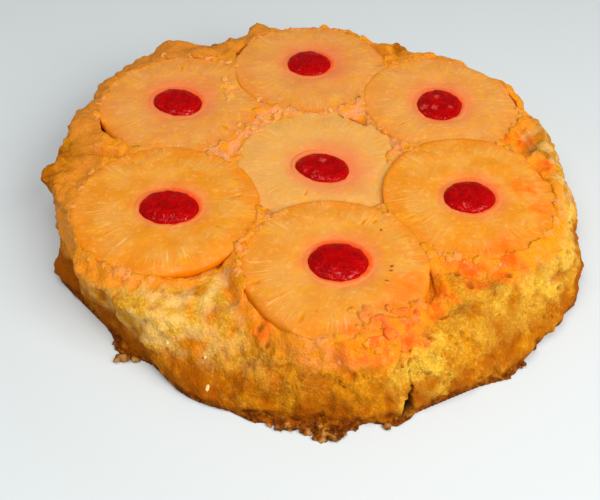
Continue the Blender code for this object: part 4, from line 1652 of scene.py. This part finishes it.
@dataclass
class Studio:
    """A pale floor, soft light and the camera at the photograph's angle."""

    floor_size: float = 6.0
    camera_place: tuple[float, float, float] = (-0.007484, -0.313164, 0.303423)
    camera_pitch: float = 46.701
    camera_roll: float = 1.667
    lens: float = 50.18
    sensor: float = 36.0
    key_place: tuple[float, float, float] = (0.66, -0.56, 0.7)
    key_size: float = 0.8
    key_power: float = 11.6
    top_place: tuple[float, float, float] = (-0.25, -0.35, 1.2)
    top_size: float = 1.0
    top_power: float = 10.0
    sky: Colour = (236, 240, 248)
    sky_strength: float = 0.19

    def build(self) -> None:
        """Makes the floor, the lights, the sky and the camera."""
        bpy.ops.object.select_all(action="DESELECT")
        bpy.ops.mesh.primitive_plane_add(size=self.floor_size)
        floor = bpy.context.active_object
        floor.name = "floor"
        floor.data.materials.append(FloorFinish().material())
        self.area_light("key", self.key_place, self.key_size, self.key_power)
        self.area_light("top", self.top_place, self.top_size, self.top_power)
        world = bpy.data.worlds.new("sky")
        world.use_nodes = True
        background = world.node_tree.nodes["Background"]
        background.inputs["Color"].default_value = linear(self.sky)
        background.inputs["Strength"].default_value = self.sky_strength
        bpy.context.scene.world = world
        bpy.context.scene.view_settings.view_transform = "Standard"
        self.camera()

    def area_light(self, name: str, place: tuple[float, float, float], size: float,
                   power: float) -> None:
        """Adds one square soft light that points at the cake.

        Args:
            name: The light's name.
            place: Where it hangs, in metres.
            size: The length of its sides, in metres.
            power: Its power, in watts.
        """
        data = bpy.data.lights.new(name, "AREA")
        data.size = size
        data.energy = power
        light = bpy.data.objects.new(name, data)
        light.location = place
        light.rotation_euler = (-Vector(place)).to_track_quat("-Z", "Y").to_euler()
        bpy.context.scene.collection.objects.link(light)

    def camera(self) -> None:
        """Adds the camera, which looks down along +Y and is turned a little about its own axis."""
        pitch, roll = math.radians(self.camera_pitch), math.radians(self.camera_roll)
        back = Vector((0, -math.cos(pitch), math.sin(pitch)))
        level_right = Vector((1, 0, 0))
        level_up = Vector((0, math.sin(pitch), math.cos(pitch)))
        right = math.cos(roll) * level_right + math.sin(roll) * level_up
        up = math.cos(roll) * level_up - math.sin(roll) * level_right
        data = bpy.data.cameras.new("camera")
        data.lens = self.lens
        data.sensor_width = self.sensor
        camera = bpy.data.objects.new("camera", data)
        turn = Matrix((right, up, back)).transposed().to_4x4()
        camera.matrix_world = Matrix.Translation(self.camera_place) @ turn
        bpy.context.scene.collection.objects.link(camera)
        bpy.context.scene.camera = camera


CHERRIES = (
    Cherry("front"),
    Cherry("right"),
    # The back-right cherry's pale patches are painted highlights
    Cherry("back_right", pith_and_highlight_spots=((62.5, 51.0, 1.6), (55.0, 43.0, 2.2), (60.5, 41.8, 1.8),
                                     (69.0, 43.0, 1.6))),
    Cherry("back"),
    Cherry("left"),
    Cherry("back_left"),
    # The middle cherry's pale spot is its pit hole
    Cherry("middle", pith_and_highlight_spots=((2.2, -1.1, 1.8),)),
)


def ring(name: str, x: float, y: float, radius: float, **details: object) -> Ring:
    """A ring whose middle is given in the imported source's own coordinates."""
    return Ring(name, (x + CENTRING[0], y + CENTRING[1]), radius, **details)


# From the ring that lies over the others to the one that lies under them
RINGS = (
    ring("front", 5.8, -76.8, 41.3, paleness=0.15, red_side=50, redness=1.0, blush_reach=9,
         slits=(Slit(-6.3, -100.8, 7.5, 1.8), Slit(-0.3, -96.9, 3.0, 1.2),
                Slit(20.7, -42.9, 5.0, 1.6), Slit(26.1, -42.2, 3.2, 2.4),
                Slit(-25.7, -81.2, 5.0, 2.4)),
         streaks=(Slit(-18.0, -92.0, 9.0, 1.2), Slit(12.0, -102.0, 8.0, 1.0),
                  Slit(-27.0, -70.0, 7.0, 1.0)),
         caramel_spots=((33.0, -100.0, 16.0), (40.0, -84.0, 12.0), (14.0, -107.5, 8.0)),
         specks=((29.0, -47.9, 0.6), (31.9, -70.1, 0.8), (30.1, -78.9, 0.7), (32.1, -73.0, 0.7)),
         bare_edges=((222, 20), (-12, 12))),
    ring("right", 69.5, -28.4, 40.9, red_side=30,
         slits=(Slit(42.4, -38.4, 6.0, 1.2), Slit(88.1, -47.3, 7.0, 1.3)),
         caramel_spots=((85.2, -16.3, 2.4), (82.0, -57.0, 13.0), (99.0, -17.0, 9.0),
                        (104.0, -30.0, 7.0)),
         bare_edges=((28, 12),)),
    ring("back_right", 62.7, 42.6, 41.0, paleness=0.35, rosiness=0.25, blush_reach=11,
         slits=(Slit(43.0, 30.0, 6.0, 1.0),),
         bare_edges=((8, 10), (52, 14))),
    ring("back", -6.8, 72.8, 42.0, paleness=0.35, rosiness=0.35, red_side=20, redness=0.8,
         blush_reach=14,
         bareness=0.45, bare_edges=((30, 10), (95, 26), (158, 10))),
    ring("left", -72.3, -42.6, 43.0, redness=0.9,
         slits=(Slit(-37.6, -28.3, 7.0, 2.0), Slit(-45.0, -49.0, 6.0, 1.4)),
         streaks=(Slit(-85.7, -60.4, 9.0, 1.3), Slit(-65.0, -67.9, 8.0, 1.2),
                  Slit(-57.9, -65.3, 8.0, 1.2), Slit(-95.0, -50.0, 8.0, 1.0)),
         bare_edges=((-62, 22),)),
    ring("back_left", -75.5, 36.7, 41.8, paleness=0.25, rosiness=0.35, blush_reach=12,
         slits=(Slit(-75.3, 73.7, 6.0, 1.2), Slit(-97.9, 63.1, 5.0, 1.2),
                Slit(-47.5, 23.2, 6.0, 2.0)),
         bare_edges=((215, 11),)),
    ring("middle", -1.6, -8.6, 40.2, paleness=0.85, red_side=15, redness=0.15, blush_reach=14,
         slits=(Slit(-5.5, -22.4, 4.5, 1.1), Slit(13.0, -26.8, 4.0, 0.8),
                Slit(19.0, -27.5, 4.0, 0.8)),
         bare_edges=((212, 10), (60, 8))),
)


def main() -> None:
    """Builds the cake and the studio, and reports each piece."""
    logging.basicConfig(level=logging.INFO, format="%(name)s: %(message)s")
    cherry_finish = CherryFinish().material()
    cherries = {cherry.name: cherry.build(cherry_finish) for cherry in CHERRIES}
    fruit: list[bpy.types.Object] = []
    for each in RINGS:
        fruit.append(each.build(PineappleFinish(), cherries[each.name], list(fruit)))
    fruit.extend(cherries.values())
    sponge_finish = SpongeFinish().material()
    sponge = Sponge(RINGS).build(sponge_finish, fruit)
    Trimmings(RINGS, search_tree([sponge, *fruit]), sponge_finish).build()
    Studio().build()


if __name__ == "__main__":
    main()
